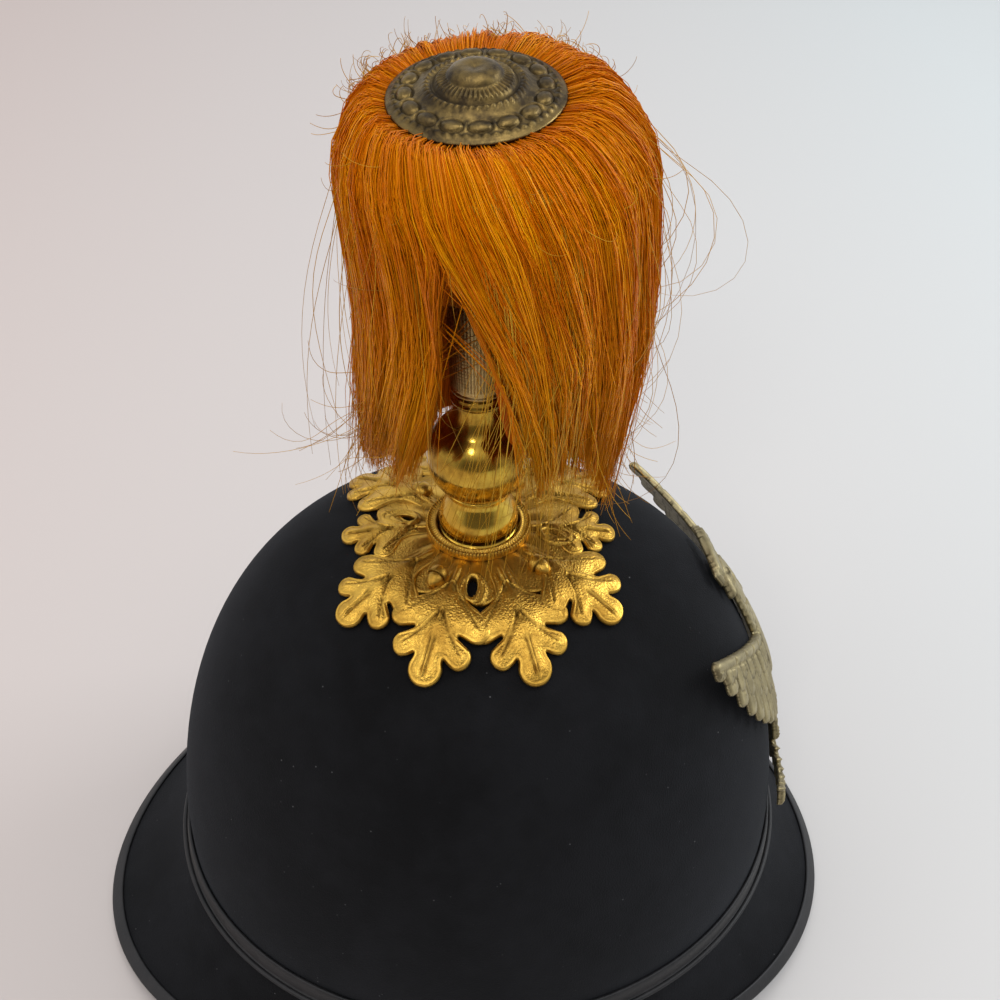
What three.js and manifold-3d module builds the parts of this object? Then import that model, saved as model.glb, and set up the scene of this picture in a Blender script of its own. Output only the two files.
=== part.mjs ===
// Cavalry dress helmet of the 1880s: a black felt body with a bound brim and a leather
// band, a gilt oak-leaf base under a turned brass spike, a fluted plume socket, a
// horsehair plume held down by a rosette, and an eagle plate at the front.
//
// Millimetres, +Z up. The front faces -Y and the wearer's right is -X. Heights are
// measured from the plane of the brim's lowest edge, and the spike stands on x = y = 0
// until the last lines move the helmet over the middle of its own footprint.
// Angles round the spike start at the front and grow towards the wearer's left.

import * as THREE from 'three';
import { mergeVertices } from 'three/addons/utils/BufferGeometryUtils.js';
import Module from 'manifold-3d';

const wasm = await Module();
wasm.setup();

// ---- Driving dimensions ----

const SEAT = 0.3; // running gap left between two pieces that touch
const FELT = 2.6; // wall of the felt body
const CROWN = { halfLength: 111, halfWidth: 97.4, foot: 54, top: 184.3, squareness: 3.25, fall: 1.76 };
const BRIM = { front: 138.2, rear: 149.2, halfWidth: 106, frontDrop: 51, sideDrop: 31, flare: 1.7 };
const BINDING = { leg: 5, leather: 1, roll: 1.7 };
const BAND = { height: 9.5, leather: 1.2, bead: 2.4, beadHeight: 1.8 };

const BOLT = { radius: 2.5, bore: 2.8, top: 328 };
const WASHER = { radius: 12, thick: 1.4, gap: 0.9 };
const NUT = { radius: 6, thick: 5 };
const BASE = { seat: 0.7, sheet: 1.2, turn: -93, disc: 24, rib: 1.1 };
const RING = { inner: 13.4, outer: 16.8, height: 2.9 };
const CUP = { lip: 12.9, belly: 7.9, shoulder: 9.4 };
const BALL = { radius: 15.9, centre: 216.6, collar: 10.6, collarFoot: 203.6, neck: 7.3, top: 241 };
const SOCKET = { foot: 241.3, top: 292.3, footRadius: 7.9, topRadius: 10.6, flutes: 16, fluteDepth: 0.5 };
const PLUME = { top: 328.4, locks: 16, foot: 206, ragged: 4, roof: 292.6 };
const SHORT_SIDE = { angle: -100, rise: 34, power: 2.2 }; // the hair is shorter on the wearer's right
// Over the spike the hair is parted: the parting's direction, width to each side, height and top.
const PART = { angle: -113, rear: 5.5, front: 17, rise: 60, top: 296 };
const ROSETTE = { radius: 22.7, foot: 329.1, height: 9, lean: 6.5, nod: 2.8 };
const PLATE = { sheet: 1.2, foot: 50, reach: 115.6, slope: 2.5, bend: 220, wrap: 98, turn: 6 };
const POST = { radius: 1.5, upper: 96, lower: 22 };

const ROUND_SIDES = 32; // steps round the felt body
const TURNED_SIDES = 20; // steps round a turned piece
const EDGE = 0.5; // bevel on the turned edges

const radians = THREE.MathUtils.degToRad;
const mix = THREE.MathUtils.lerp;

// ---- Making closed bodies ----

/** Turns a closed body inside out when its signed volume shows that its faces point in. */
function facesOut(geometry) {
  geometry.deleteAttribute('normal');
  geometry.deleteAttribute('uv');
  const body = mergeVertices(geometry, 1e-4);
  const corner = [new THREE.Vector3(), new THREE.Vector3(), new THREE.Vector3()];
  const index = body.index.array;
  let volume = 0;
  for (let i = 0; i < index.length; i += 3) {
    corner.forEach((point, k) => point.fromBufferAttribute(body.attributes.position, index[i + k]));
    volume += corner[0].dot(corner[1].clone().cross(corner[2])) / 6;
  }
  if (volume < 0) {
    for (let i = 0; i < index.length; i += 3) {
      [index[i], index[i + 1]] = [index[i + 1], index[i]];
    }
  }
  body.computeVertexNormals();
  return body;
}

/** Mesh of a grid of points that closes on itself across its columns, and along its rows too with `loop`. */
function gridBody(rows, loop) {
  const width = rows[0].length;
  const points = rows.flat();
  const faces = [];
  const last = loop ? rows.length : rows.length - 1;
  for (let row = 0; row < last; row += 1) {
    for (let column = 0; column < width; column += 1) {
      const a = row * width + column;
      const b = row * width + ((column + 1) % width);
      const c = ((row + 1) % rows.length) * width + column;
      const d = ((row + 1) % rows.length) * width + ((column + 1) % width);
      faces.push(a, c, b, b, c, d);
    }
  }
  if (!loop) {
    for (let column = 1; column < width - 1; column += 1) {
      const end = (rows.length - 1) * width;
      faces.push(0, column, column + 1, end, end + column + 1, end + column);
    }
  }
  const geometry = new THREE.BufferGeometry();
  geometry.setAttribute('position', new THREE.Float32BufferAttribute(points.flatMap((p) => p.toArray()), 3));
  geometry.setIndex(faces);
  return facesOut(geometry);
}

/** Evenly spaced parts of the way from 0 to 1. */
const evenly = (steps) => Array.from({ length: steps + 1 }, (_, i) => i / steps);

/**
 * Ring-shaped body: section(angle) gives the points of its closed section at each angle. A flat of the ring
 * faces the front, so that a brim made this way stands on two short edges.
 */
function ringBody(section, steps) {
  const angles = Array.from({ length: steps }, (_, i) => (2 * Math.PI * (i + 0.5)) / steps);
  return gridBody(angles.map(section), true);
}

/** Point at a radius and an angle round the spike, and a height. */
function turnedPoint(radius, angle, height) {
  return new THREE.Vector3(radius * Math.sin(angle), -radius * Math.cos(angle), height);
}

/** Body turned about the spike from a closed profile of [radius, height] pairs. */
function turned(profile, sides = TURNED_SIDES) {
  const closed = [...profile, profile[0]].map(([radius, height]) => new THREE.Vector2(radius, height));
  return facesOut(new THREE.LatheGeometry(closed, sides).rotateX(Math.PI / 2));
}

/** Arc of [radius, height] pairs about a centre, between two angles above the horizontal. */
function arc(centreRadius, centreHeight, radius, from, to, steps) {
  return Array.from({ length: steps + 1 }, (_, i) => {
    const angle = radians(mix(from, to, i / steps));
    return [centreRadius + radius * Math.cos(angle), centreHeight + radius * Math.sin(angle)];
  });
}

function toSolid(geometry) {
  const body = facesOut(geometry);
  const mesh = new wasm.Mesh({
    numProp: 3,
    vertProperties: body.attributes.position.array,
    triVerts: Uint32Array.from(body.index.array),
  });
  return new wasm.Manifold(mesh);
}

function toGeometry(solid) {
  const { vertProperties, triVerts } = solid.getMesh();
  const geometry = new THREE.BufferGeometry();
  geometry.setAttribute('position', new THREE.Float32BufferAttribute(vertProperties, 3));
  geometry.setIndex(Array.from(triVerts));
  geometry.computeVertexNormals();
  return geometry;
}

function fuse(geometries) {
  return geometries.map(toSolid).reduce((whole, next) => whole.add(next));
}

/**
 * Stamped sheet between two edge curves. edges(s, row) gives the two edge points in the plane at a station,
 * lift(s, v) the height of the relief, and skin(x, y, height) bends the plane onto what carries the sheet.
 */
function stampedSheet({ edges, lift, skin, sheet, stations, columns = 2 }) {
  const sections = [];
  stations.forEach((s, row) => {
    const [one, other] = edges(s, row);
    const upper = [];
    const lower = [];
    for (let column = 0; column <= columns; column += 1) {
      const v = column / columns;
      const x = mix(one[0], other[0], v);
      const y = mix(one[1], other[1], v);
      upper.push(skin(x, y, sheet + lift(s, 2 * v - 1)));
      lower.unshift(skin(x, y, 0));
    }
    sections.push([...upper, ...lower]);
  });
  return gridBody(sections, false);
}

// ---- Felt body, band and binding ----

/** How far the brim's edge lies below the crown's foot: most at the front and rear, least at the sides. */
function brimDrop(angle) {
  return mix(BRIM.frontDrop, BRIM.sideDrop, Math.sin(angle) ** 2);
}

/**
 * Point on the felt's outer face. Station 0 is the middle of the crown, 1 its foot and 2 the edge of the
 * brim. The crown's section is a superellipse, and the brim flares from it by a power of the way down.
 */
function feltPoint(station, angle) {
  const sin = Math.sin(angle);
  const cos = Math.cos(angle);
  if (station <= 1) {
    const turn = (station * Math.PI) / 2;
    const reach = Math.sin(turn) ** (2 / CROWN.squareness);
    const rise = Math.cos(turn) ** (2 / CROWN.fall);
    const height = mix(CROWN.foot, CROWN.top, rise);
    return new THREE.Vector3(CROWN.halfWidth * reach * sin, -CROWN.halfLength * reach * cos, height);
  }
  const down = station - 1;
  const out = down ** BRIM.flare;
  const halfLength = mix(CROWN.halfLength, cos > 0 ? BRIM.front : BRIM.rear, out);
  const halfWidth = mix(CROWN.halfWidth, BRIM.halfWidth, out);
  return new THREE.Vector3(halfWidth * sin, -halfLength * cos, CROWN.foot - brimDrop(angle) * down);
}

/** Directions on the felt at a station: down along the wall, and out of it. */
function feltDirections(station, angle) {
  const step = 5e-4;
  const upper = feltPoint(station - step, angle);
  const down = feltPoint(Math.min(station + step, 2), angle).sub(upper).normalize();
  const round = feltPoint(station, angle + step).sub(feltPoint(station, angle - step));
  return { down, out: down.clone().cross(round).normalize() };
}

/** Point at a station, moved down along the wall and out of it. */
function feltOffset(station, angle, along, off) {
  const { down, out } = feltDirections(station, angle);
  return feltPoint(station, angle).addScaledVector(down, along).addScaledVector(out, off);
}

function feltShell() {
  const crownRows = 11;
  const brimRows = 6;
  const hole = ((BOLT.bore + 1) / CROWN.halfLength) ** (CROWN.squareness / 2) / (Math.PI / 2);
  const stations = [hole];
  for (let row = 1; row <= crownRows; row += 1) {
    stations.push((row / crownRows) ** 1.45);
  }
  for (let row = 1; row <= brimRows; row += 1) {
    stations.push(1 + (row / brimRows) ** 1.3);
  }
  return ringBody((angle) => {
    const outer = stations.map((station) => feltPoint(station, angle));
    const inner = stations.filter((_, row) => row % 2 === 0 || row === stations.length - 1);
    return [...outer, ...inner.reverse().map((station) => feltOffset(station, angle, 0, -FELT))];
  }, ROUND_SIDES);
}

/** Leather folded over the edge of the brim: two legs joined by a round roll. */
function brimBinding() {
  const middle = -FELT / 2;
  const inside = FELT / 2 + SEAT;
  const outside = inside + BINDING.leather;
  const section = [[-BINDING.leg, middle + outside]];
  for (let turn = 0; turn <= 180; turn += 60) {
    section.push([BINDING.roll * Math.sin(radians(turn)), middle + outside * Math.cos(radians(turn))]);
  }
  section.push([-BINDING.leg, middle - outside]);
  section.push([-BINDING.leg, middle - inside]);
  section.push([SEAT, middle - inside]);
  section.push([SEAT, middle + inside]);
  section.push([-BINDING.leg, middle + inside]);
  return ringBody((angle) => section.map(([along, off]) => feltOffset(2, angle, along, off)), ROUND_SIDES);
}

/** Leather band round the foot of the crown, with a bead along its lower edge. */
function crownBand() {
  const outside = SEAT + BAND.leather;
  const section = [
    [0, SEAT],
    [BAND.height / 2, SEAT],
    [BAND.height, SEAT],
    [BAND.height, SEAT + BAND.bead * 0.7],
    [BAND.height - BAND.beadHeight / 2, SEAT + BAND.bead],
    [BAND.height - BAND.beadHeight, outside],
    [BAND.height / 2, outside],
    [0.4, outside],
  ];
  return ringBody((angle) => section.map(([below, off]) => {
    const station = 1 + Math.max(below, 0.05) / brimDrop(angle);
    return feltOffset(station, angle, 0, off);
  }), ROUND_SIDES);
}

// ---- Oak-leaf base, spike and bolt ----

/** Point over the crown at a place in plan, moved out of the felt by a height. */
function domePoint(x, y, height) {
  const level = (px, py) => {
    const reach = Math.hypot(px / CROWN.halfWidth, py / CROWN.halfLength);
    return mix(CROWN.foot, CROWN.top, (1 - reach ** CROWN.squareness) ** (1 / CROWN.fall));
  };
  const step = 0.05;
  const slopeX = (level(x + step, y) - level(x - step, y)) / (2 * step);
  const slopeY = (level(x, y + step) - level(x, y - step)) / (2 * step);
  const out = new THREE.Vector3(-slopeX, -slopeY, 1).normalize();
  return new THREE.Vector3(x, y, level(x, y)).addScaledVector(out, height);
}

/** Point of the base at a radius and a direction, in degrees, from the axis of its longest leaves. */
function basePlan(radius, direction) {
  const angle = radians(BASE.turn + direction);
  return [radius * Math.sin(angle), -radius * Math.cos(angle)];
}

const LEAVES = [
  { direction: -18, tip: 57.2 },
  { direction: 18, tip: 57.2 },
  { direction: 52, tip: 54 },
  { direction: 90, tip: 44 },
  { direction: 128, tip: 54 },
];
const LEAF_ROOT = 17.5; // distance of a leaf's root from the spike
// Outline of the longest leaf: half its width at parts of the way along, through its five lobes.
const LEAF_OUTLINE = [
  { along: 0, half: 5 },
  { along: 0.22, half: 9.5 },
  { along: 0.4, half: 11 },
  { along: 0.47, half: 12.6 },
  { along: 0.54, half: 14.6 },
  { along: 0.6, half: 13 },
  { along: 0.635, half: 7 },
  { along: 0.7, half: 10.4 },
  { along: 0.76, half: 11.7 },
  { along: 0.815, half: 4.5 },
  { along: 0.88, half: 5.2 },
  { along: 0.95, half: 4.4 },
  { along: 1, half: 1.8 },
];
const PIERCINGS = [{ direction: -4.5, radius: 26.9 }, { direction: 81, radius: 24.5 }];
const PIERCING = { halfWidth: 1.6, halfLength: 3.9 };
const ACORNS = [{ direction: 46, radius: 26.5 }, { direction: -30, radius: 26.5 }];
const ACORN = 3; // radius

function oakLeaf(direction, tip, drawn) {
  const [acrossX, acrossY] = basePlan(1, direction + 90);
  return stampedSheet({
    edges: (s, row) => {
      const [x, y] = basePlan(mix(LEAF_ROOT, tip, s), direction);
      const half = LEAF_OUTLINE[row].half * drawn;
      return [[x - acrossX * half, y - acrossY * half], [x + acrossX * half, y + acrossY * half]];
    },
    lift: (s, v) => BASE.rib * (1 - v * v) * Math.sqrt(Math.sin(Math.PI * s)),
    skin: (x, y, height) => domePoint(x, y, height + BASE.seat),
    sheet: BASE.sheet,
    stations: LEAF_OUTLINE.map(({ along }) => along),
  });
}

function baseDisc() {
  const rings = [BOLT.bore, RING.outer, BASE.disc];
  return ringBody((angle) => {
    const at = (radius, height) => {
      return domePoint(radius * Math.sin(angle), -radius * Math.cos(angle), height + BASE.seat);
    };
    const upper = rings.map((radius) => at(radius, BASE.sheet));
    const lower = rings.map((radius) => at(radius, 0));
    return [...upper, ...lower.reverse()];
  }, TURNED_SIDES);
}

/** The two halves of the base are alike when one is turned by half a turn. */
function leafBase() {
  const halves = [0, 180];
  const pieces = [baseDisc()];
  const cuts = [];
  halves.forEach((half) => {
    LEAVES.forEach(({ direction, tip }) => pieces.push(oakLeaf(direction + half, tip, tip / LEAVES[0].tip)));
    ACORNS.forEach(({ direction, radius }) => {
      const [x, y] = basePlan(radius, direction + half);
      const seat = domePoint(x, y, BASE.seat + ACORN);
      pieces.push(new THREE.SphereGeometry(ACORN, 8, 5).translate(seat.x, seat.y, seat.z));
    });
    PIERCINGS.forEach(({ direction, radius }) => {
      const [x, y] = basePlan(radius, direction + half);
      const cutter = new THREE.CylinderGeometry(1, 1, 20, 8).rotateX(Math.PI / 2);
      cutter.scale(PIERCING.halfWidth, PIERCING.halfLength, 1);
      cuts.push(cutter.rotateZ(radians(BASE.turn + direction + half)).translate(x, y, CROWN.top));
    });
  });
  return toGeometry(fuse(pieces).subtract(fuse(cuts)));
}

const BASE_TOP = CROWN.top + BASE.seat + BASE.sheet;

/** Ring with a hollow face, which carries the reeding round the cup. */
function milledRing() {
  const foot = BASE_TOP + SEAT;
  const { inner, outer, height } = RING;
  return turned([
    [inner, foot],
    [outer - EDGE, foot],
    [outer, foot + height - 2 * EDGE],
    [outer - EDGE, foot + height],
    [mix(outer, inner, 0.5), foot + height - 0.8],
    [inner + 0.4, foot + height - 0.1],
    [inner, foot + height - 0.6],
  ]);
}

/** Polished cup: a lip at its foot, a full belly and a shoulder under the ball's collar. */
function baseCup() {
  const foot = BASE_TOP + SEAT;
  const top = BALL.collarFoot - SEAT;
  const waist = foot + 4.5;
  const stretch = 1.45;
  const belly = arc(CUP.lip - 0.3 - CUP.belly, 0, CUP.belly, 0, 60, 3);
  return turned([
    [BOLT.bore, foot],
    [CUP.lip - 0.8, foot],
    [CUP.lip, foot + 1],
    [CUP.lip - 0.3, foot + 2.6],
    ...belly.map(([radius, height]) => [radius, waist + stretch * height]),
    [CUP.shoulder, top - 1.2],
    [CUP.shoulder, top],
    [BOLT.bore, top],
  ]);
}

/** Collar, ball and drawn-in neck, turned from one piece. */
function ballStem() {
  const { radius, centre, collar, collarFoot, neck, top } = BALL;
  return turned([
    [BOLT.bore, collarFoot],
    [collar - 0.7, collarFoot],
    [collar, collarFoot + 0.9],
    [collar - 0.8, collarFoot + 1.9],
    ...arc(0, centre, radius, -45, 38, 7),
    [mix(radius, neck, 0.66), centre + 12.6],
    [mix(radius, neck, 0.87), centre + 16],
    [neck, centre + 20],
    [neck + 0.4, top - 1.2],
    [neck + 0.4, top],
    [BOLT.bore, top],
  ]);
}

/** Fluted tube that widens upwards from a plain rim. */
function plumeSocket() {
  const { foot, top, footRadius, topRadius, flutes, fluteDepth } = SOCKET;
  const levels = [
    { height: foot, radius: footRadius, fluted: 0 },
    { height: foot + 2, radius: footRadius, fluted: 0 },
    { height: foot + 2.4, radius: footRadius, fluted: 1 },
    { height: mix(foot, top, 0.4), radius: mix(footRadius, topRadius, 0.28), fluted: 1 },
    { height: mix(foot, top, 0.75), radius: mix(footRadius, topRadius, 0.62), fluted: 1 },
    { height: top, radius: topRadius, fluted: 1 },
  ];
  let flute = 0;
  return ringBody((angle) => {
    flute += 1;
    const depth = flute % 2 ? fluteDepth : 0;
    const at = (radius, height) => turnedPoint(radius, angle, height);
    const outer = levels.map((level) => at(level.radius - depth * level.fluted, level.height));
    return [at(BOLT.bore, foot), ...outer, at(BOLT.bore, top)];
  }, flutes * 2);
}

/** Bolt down the spike, with a washer and nut inside the crown. */
function spikeBolt() {
  const washerTop = CROWN.top - FELT - WASHER.gap;
  const washerFoot = washerTop - WASHER.thick;
  const rod = turned([
    [0, washerFoot],
    [WASHER.radius - EDGE, washerFoot],
    [WASHER.radius, washerTop - EDGE],
    [WASHER.radius - EDGE, washerTop],
    [BOLT.radius, washerTop],
    [BOLT.radius, BOLT.top],
    [0, BOLT.top],
  ]);
  const nut = new THREE.CylinderGeometry(NUT.radius, NUT.radius, NUT.thick, 6).rotateX(Math.PI / 2);
  nut.translate(0, 0, washerFoot - NUT.thick / 2 + 0.1);
  return toGeometry(fuse([rod, nut]));
}

// ---- Plume and rosette ----

// Outer form of the hair from the rosette down: its reach from its own middle at each height,
// and how far that middle lies in front of the spike.
const HAIR = [
  { height: 328.7, reach: 22, forward: 0 },
  { height: 331, reach: 27, forward: 1 },
  { height: 328, reach: 34, forward: 2.5 },
  { height: 318, reach: 40.5, forward: 4 },
  { height: 308, reach: 42.4, forward: 5.2 },
  { height: 300, reach: 42.7, forward: 5.9 },
];
// The hanging locks: the same at parts of the way down to their feet, and how thick they are there.
const TRESS = [
  { down: 0.2, reach: 42.2, forward: 7.3, wall: 8 },
  { down: 0.4, reach: 42, forward: 7.6, wall: 8 },
  { down: 0.58, reach: 41, forward: 6.2, wall: 7 },
  { down: 0.77, reach: 39.6, forward: 4.3, wall: 5.5 },
  { down: 0.94, reach: 38.4, forward: 3.3, wall: 3.4 },
];
const GROOVE = 0.07; // how far the hair draws in between two locks, as a part of its reach

/** Height where a lock ends: ragged, higher on the short side, and highest where the hair is parted. */
function lockFoot(angle, lock, phase) {
  const turn = angle - radians(PART.angle);
  const away = THREE.MathUtils.radToDeg(Math.atan2(Math.sin(turn), Math.cos(turn)));
  const parted = PART.rise * Math.exp(-((away / (away > 0 ? PART.front : PART.rear)) ** 2));
  const facing = (1 + Math.cos(angle - radians(SHORT_SIDE.angle))) / 2;
  const short = SHORT_SIDE.rise * facing ** SHORT_SIDE.power;
  const ragged = PLUME.ragged * (Math.sin(lock * 2.4) + phase * phase);
  return Math.min(PLUME.foot + short + ragged + parted, PART.top);
}

/** Head of hair over the socket, fused with a ring of locks that hang round the spike. */
function plume() {
  const samples = 3;
  const leanX = Math.tan(radians(ROSETTE.lean));
  const leanY = Math.tan(radians(ROSETTE.nod));
  const shoulder = HAIR[HAIR.length - 1];
  const last = TRESS[TRESS.length - 1];
  return ringBody((angle) => {
    const turn = (angle / (2 * Math.PI)) * PLUME.locks;
    const lock = Math.floor(turn + 0.5);
    const phase = 2 * (turn - lock);
    const foot = lockFoot(angle, lock, phase);
    const hang = (down) => mix(shoulder.height, foot, down);
    const at = (reach, forward, height, groove) => {
      const point = turnedPoint(reach * (1 - groove * phase * phase), angle, height);
      const leaning = THREE.MathUtils.smoothstep(height, PLUME.roof, PLUME.top);
      point.z += (point.x * leanX - point.y * leanY) * leaning;
      point.y -= forward;
      return point;
    };
    const outer = HAIR.map(({ height, reach, forward }, row) => {
      return at(reach, forward, height, (GROOVE * row) / HAIR.length);
    });
    const outside = TRESS.map(({ down, reach, forward }) => at(reach, forward, hang(down), GROOVE));
    const backed = TRESS.filter((_, row) => row % 2 === 0);
    const inside = backed.map(({ down, reach, forward, wall }) => at(reach - wall, forward, hang(down), 0));
    const tip = at(last.reach - last.wall / 2, last.forward, foot, 0);
    const roof = [at(26, 5, PLUME.roof - 9, 0), at(14, 0, PLUME.roof, 0), at(BOLT.bore, 0, PLUME.roof, 0)];
    return [at(BOLT.bore, 0, PLUME.top, 0), ...outer, ...outside, tip, ...inside.reverse(), ...roof];
  }, PLUME.locks * samples);
}

/** Rosette: a thin rim, a scalloped band, a hollow, a beaded step and a button with a dimple. */
function plumeRosette() {
  const { radius, foot, height } = ROSETTE;
  return turned([
    [0, foot],
    [radius - 0.8, foot],
    [radius, foot + 1],
    [radius - 0.6, foot + 1.7],
    [radius * 0.86, foot + 2.9],
    [radius * 0.74, foot + 2.8],
    [radius * 0.6, foot + 4.3],
    [radius * 0.5, foot + 4.1],
    [radius * 0.42, foot + 6],
    [radius * 0.33, foot + 6.2],
    [radius * 0.27, foot + 8.2],
    [radius * 0.16, foot + height],
    [0, foot + height - 0.5],
  ], 24);
}

// ---- Eagle plate ----

/**
 * Point on the plate: x round its bow, y up along its arc, and a height out of its back face. The bow is
 * an arc of a circle about an upright axis, and the arc up the plate leans back as the crown does.
 */
function platePoint(x, y, height) {
  const { foot, reach, slope, bend, wrap } = PLATE;
  const start = radians(slope);
  const lean = start + y / bend;
  const rise = foot + bend * (Math.sin(lean) - Math.sin(start));
  const forward = reach + bend * (Math.cos(lean) - Math.cos(start));
  const bow = x / wrap;
  const out = new THREE.Vector3(Math.sin(bow), -Math.cos(bow), Math.tan(lean)).normalize();
  const point = new THREE.Vector3(wrap * Math.sin(bow), wrap * (1 - Math.cos(bow)) - forward, rise);
  return point.addScaledVector(out, height);
}

const plateSheet = (shape) => stampedSheet({ skin: platePoint, sheet: PLATE.sheet, ...shape });

// Sheets about the plate's middle line: their lowest and highest edge, half widths at even steps between
// them, the height of their relief, and how far the top leans to the wearer's right.
const BODY = { low: 30, high: 104, halves: [4, 8, 11, 12, 11, 9, 7], relief: 1.6, aside: 0 };
const TAIL = { low: 2, high: 34, halves: [3, 10, 12, 9, 5], relief: 1.2, aside: 0 };
const SHIELD = { low: 46, high: 82, halves: [3, 9, 11, 11, 10], relief: 2.4, aside: 0 };
const EAGLE_HEAD = { low: 98, high: 119, halves: [6, 6.5, 6, 3], relief: 2, aside: -4 };

function uprightSheet({ low, high, halves, relief, aside }) {
  return plateSheet({
    edges: (s, row) => {
      const middle = aside * s;
      const y = mix(low, high, s);
      return [[middle - halves[row], y], [middle + halves[row], y]];
    },
    lift: (s, v) => relief * (1 - v * v),
    stations: evenly(halves.length - 1),
  });
}

// A wing from its root beside the body to its tip: heights of its arm and of the feathers' edge at both
// ends, how far the feathers spread, how fast their edge rises, and the notches between them.
const WING = { root: 8, shoulder: 78, armpit: 44, tip: 52, top: 119, spread: 55, corner: 112, rise: 1.6 };
const FEATHERS = { count: 7, notch: 1.6, relief: 1.2 };
const SCROLL = { half: 13, foot: 117, height: 5.5, bow: 60, relief: 0.9 };
const BRANCH = { root: 3, reach: 38, foot: 16, tip: 22, sag: 6, stem: 1.6, leaf: 3.4, relief: 1.2 };

/** Raised wing: a nearly straight arm, and feather tips that round its outer edge. */
function wing(side) {
  return plateSheet({
    edges: (s) => {
      const notch = FEATHERS.notch * Math.abs(Math.sin(Math.PI * FEATHERS.count * s));
      const armX = mix(WING.root, WING.tip, s);
      const armY = mix(WING.shoulder, WING.top, s);
      const edgeX = mix(WING.root, WING.spread, Math.sin((Math.PI / 2) * s)) - notch * s;
      const edgeY = mix(WING.armpit, WING.corner, s ** WING.rise) - notch * (1 - s);
      return [[side * armX, armY], [side * edgeX, edgeY]];
    },
    lift: (s, v) => FEATHERS.relief * (1 - v * v),
    stations: evenly(2 * FEATHERS.count),
  });
}

/** Plain ribbon above the head, bowed upwards, without lettering. */
function ribbon() {
  return plateSheet({
    edges: (s) => {
      const x = mix(-SCROLL.half, SCROLL.half, s);
      const y = SCROLL.foot - (x * x) / SCROLL.bow;
      return [[x, y], [x, y + SCROLL.height]];
    },
    lift: (s, v) => SCROLL.relief * (1 - v * v),
    stations: evenly(8),
  });
}

/** Branch or sheaf from the tail, with leaves along it. */
function branch(side) {
  return plateSheet({
    edges: (s) => {
      const x = side * mix(BRANCH.root, BRANCH.reach, s);
      const y = mix(BRANCH.foot, BRANCH.tip, s) - BRANCH.sag * Math.sin(Math.PI * s);
      const half = BRANCH.stem + BRANCH.leaf * Math.abs(Math.sin(2 * Math.PI * s)) * (1 - 0.4 * s);
      return [[x, y - half], [x, y + half]];
    },
    lift: (s, v) => BRANCH.relief * (1 - v * v),
    stations: evenly(8),
  });
}

/** Soldered post from the back of the plate to the felt. */
function platePost(height) {
  const back = platePoint(0, height, PLATE.sheet / 2);
  const rise = (back.z - POST.radius - CROWN.foot) / (CROWN.top - CROWN.foot);
  const turn = radians(PLATE.turn);
  const oval = Math.hypot(Math.sin(turn) / CROWN.halfWidth, Math.cos(turn) / CROWN.halfLength);
  const feltFront = (1 - rise ** CROWN.fall) ** (1 / CROWN.squareness) / oval;
  const length = -back.y - feltFront - SEAT;
  const post = new THREE.CylinderGeometry(POST.radius, POST.radius, length, 10);
  return post.translate(0, back.y + length / 2, back.z);
}

/** Eagle with raised wings and a shield on its breast, its tail over two branches, under the ribbon. */
function frontPlate() {
  return toGeometry(fuse([
    ...[BODY, TAIL, SHIELD, EAGLE_HEAD].map(uprightSheet),
    wing(1),
    wing(-1),
    ribbon(),
    branch(1),
    branch(-1),
    platePost(POST.upper),
    platePost(POST.lower),
  ]));
}

// ---- Assembly ----

const FELT_BLACK = { color: 0x17181b, roughness: 0.95, metalness: 0 };
const LEATHER_BLACK = { color: 0x222327, roughness: 0.45, metalness: 0 };
const GILT = { color: 0xc79a32, roughness: 0.32, metalness: 1 };
const BRASS = { color: 0xb88a45, roughness: 0.2, metalness: 1 };
const OLD_BRASS = { color: 0x6f6238, roughness: 0.45, metalness: 1 };
const DULL_BRASS = { color: 0x8c8262, roughness: 0.5, metalness: 1 };
const HORSEHAIR = { color: 0xc96a08, roughness: 0.6, metalness: 0 };
const STEEL = { color: 0x77787a, roughness: 0.5, metalness: 1 };

function piece(name, geometry, finish) {
  const mesh = new THREE.Mesh(geometry, new THREE.MeshStandardMaterial(finish));
  mesh.name = name;
  return mesh;
}

const rosette = piece('plume_rosette', plumeRosette().translate(0, 0, -ROSETTE.foot), OLD_BRASS);
rosette.position.z = ROSETTE.foot;
rosette.rotation.set(-radians(ROSETTE.nod), -radians(ROSETTE.lean), 0);

const plate = piece('front_plate', frontPlate(), DULL_BRASS);
plate.rotation.z = radians(PLATE.turn);

const helmet = new THREE.Group();
helmet.add(
  piece('felt_shell', feltShell(), FELT_BLACK),
  piece('brim_binding', brimBinding(), LEATHER_BLACK),
  piece('crown_band', crownBand(), LEATHER_BLACK),
  piece('leaf_base', leafBase(), GILT),
  piece('milled_ring', milledRing(), GILT),
  piece('base_cup', baseCup(), BRASS),
  piece('ball_stem', ballStem(), BRASS),
  piece('plume_socket', plumeSocket(), BRASS),
  piece('plume', plume(), HORSEHAIR),
  rosette,
  plate,
  piece('spike_bolt', spikeBolt(), STEEL),
);

const bounds = new THREE.Box3().setFromObject(helmet, true);
const middle = bounds.getCenter(new THREE.Vector3());
helmet.position.set(-middle.x, -middle.y, -bounds.min.z);

export default helmet;
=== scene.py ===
# %% [markdown]
# # A cavalry helmet, dressed
# The model loaded here already has every solid of the helmet in its place. This lesson gives each solid the
# surface of the real thing: felt, leather, stamped and turned brass, and horsehair. The frame is loaded
# first and is never moved, because everything that follows is placed from it.

# %% Load the frame
import math

import bmesh
import bpy
import numpy as np
from mathutils import Matrix, Vector


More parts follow.
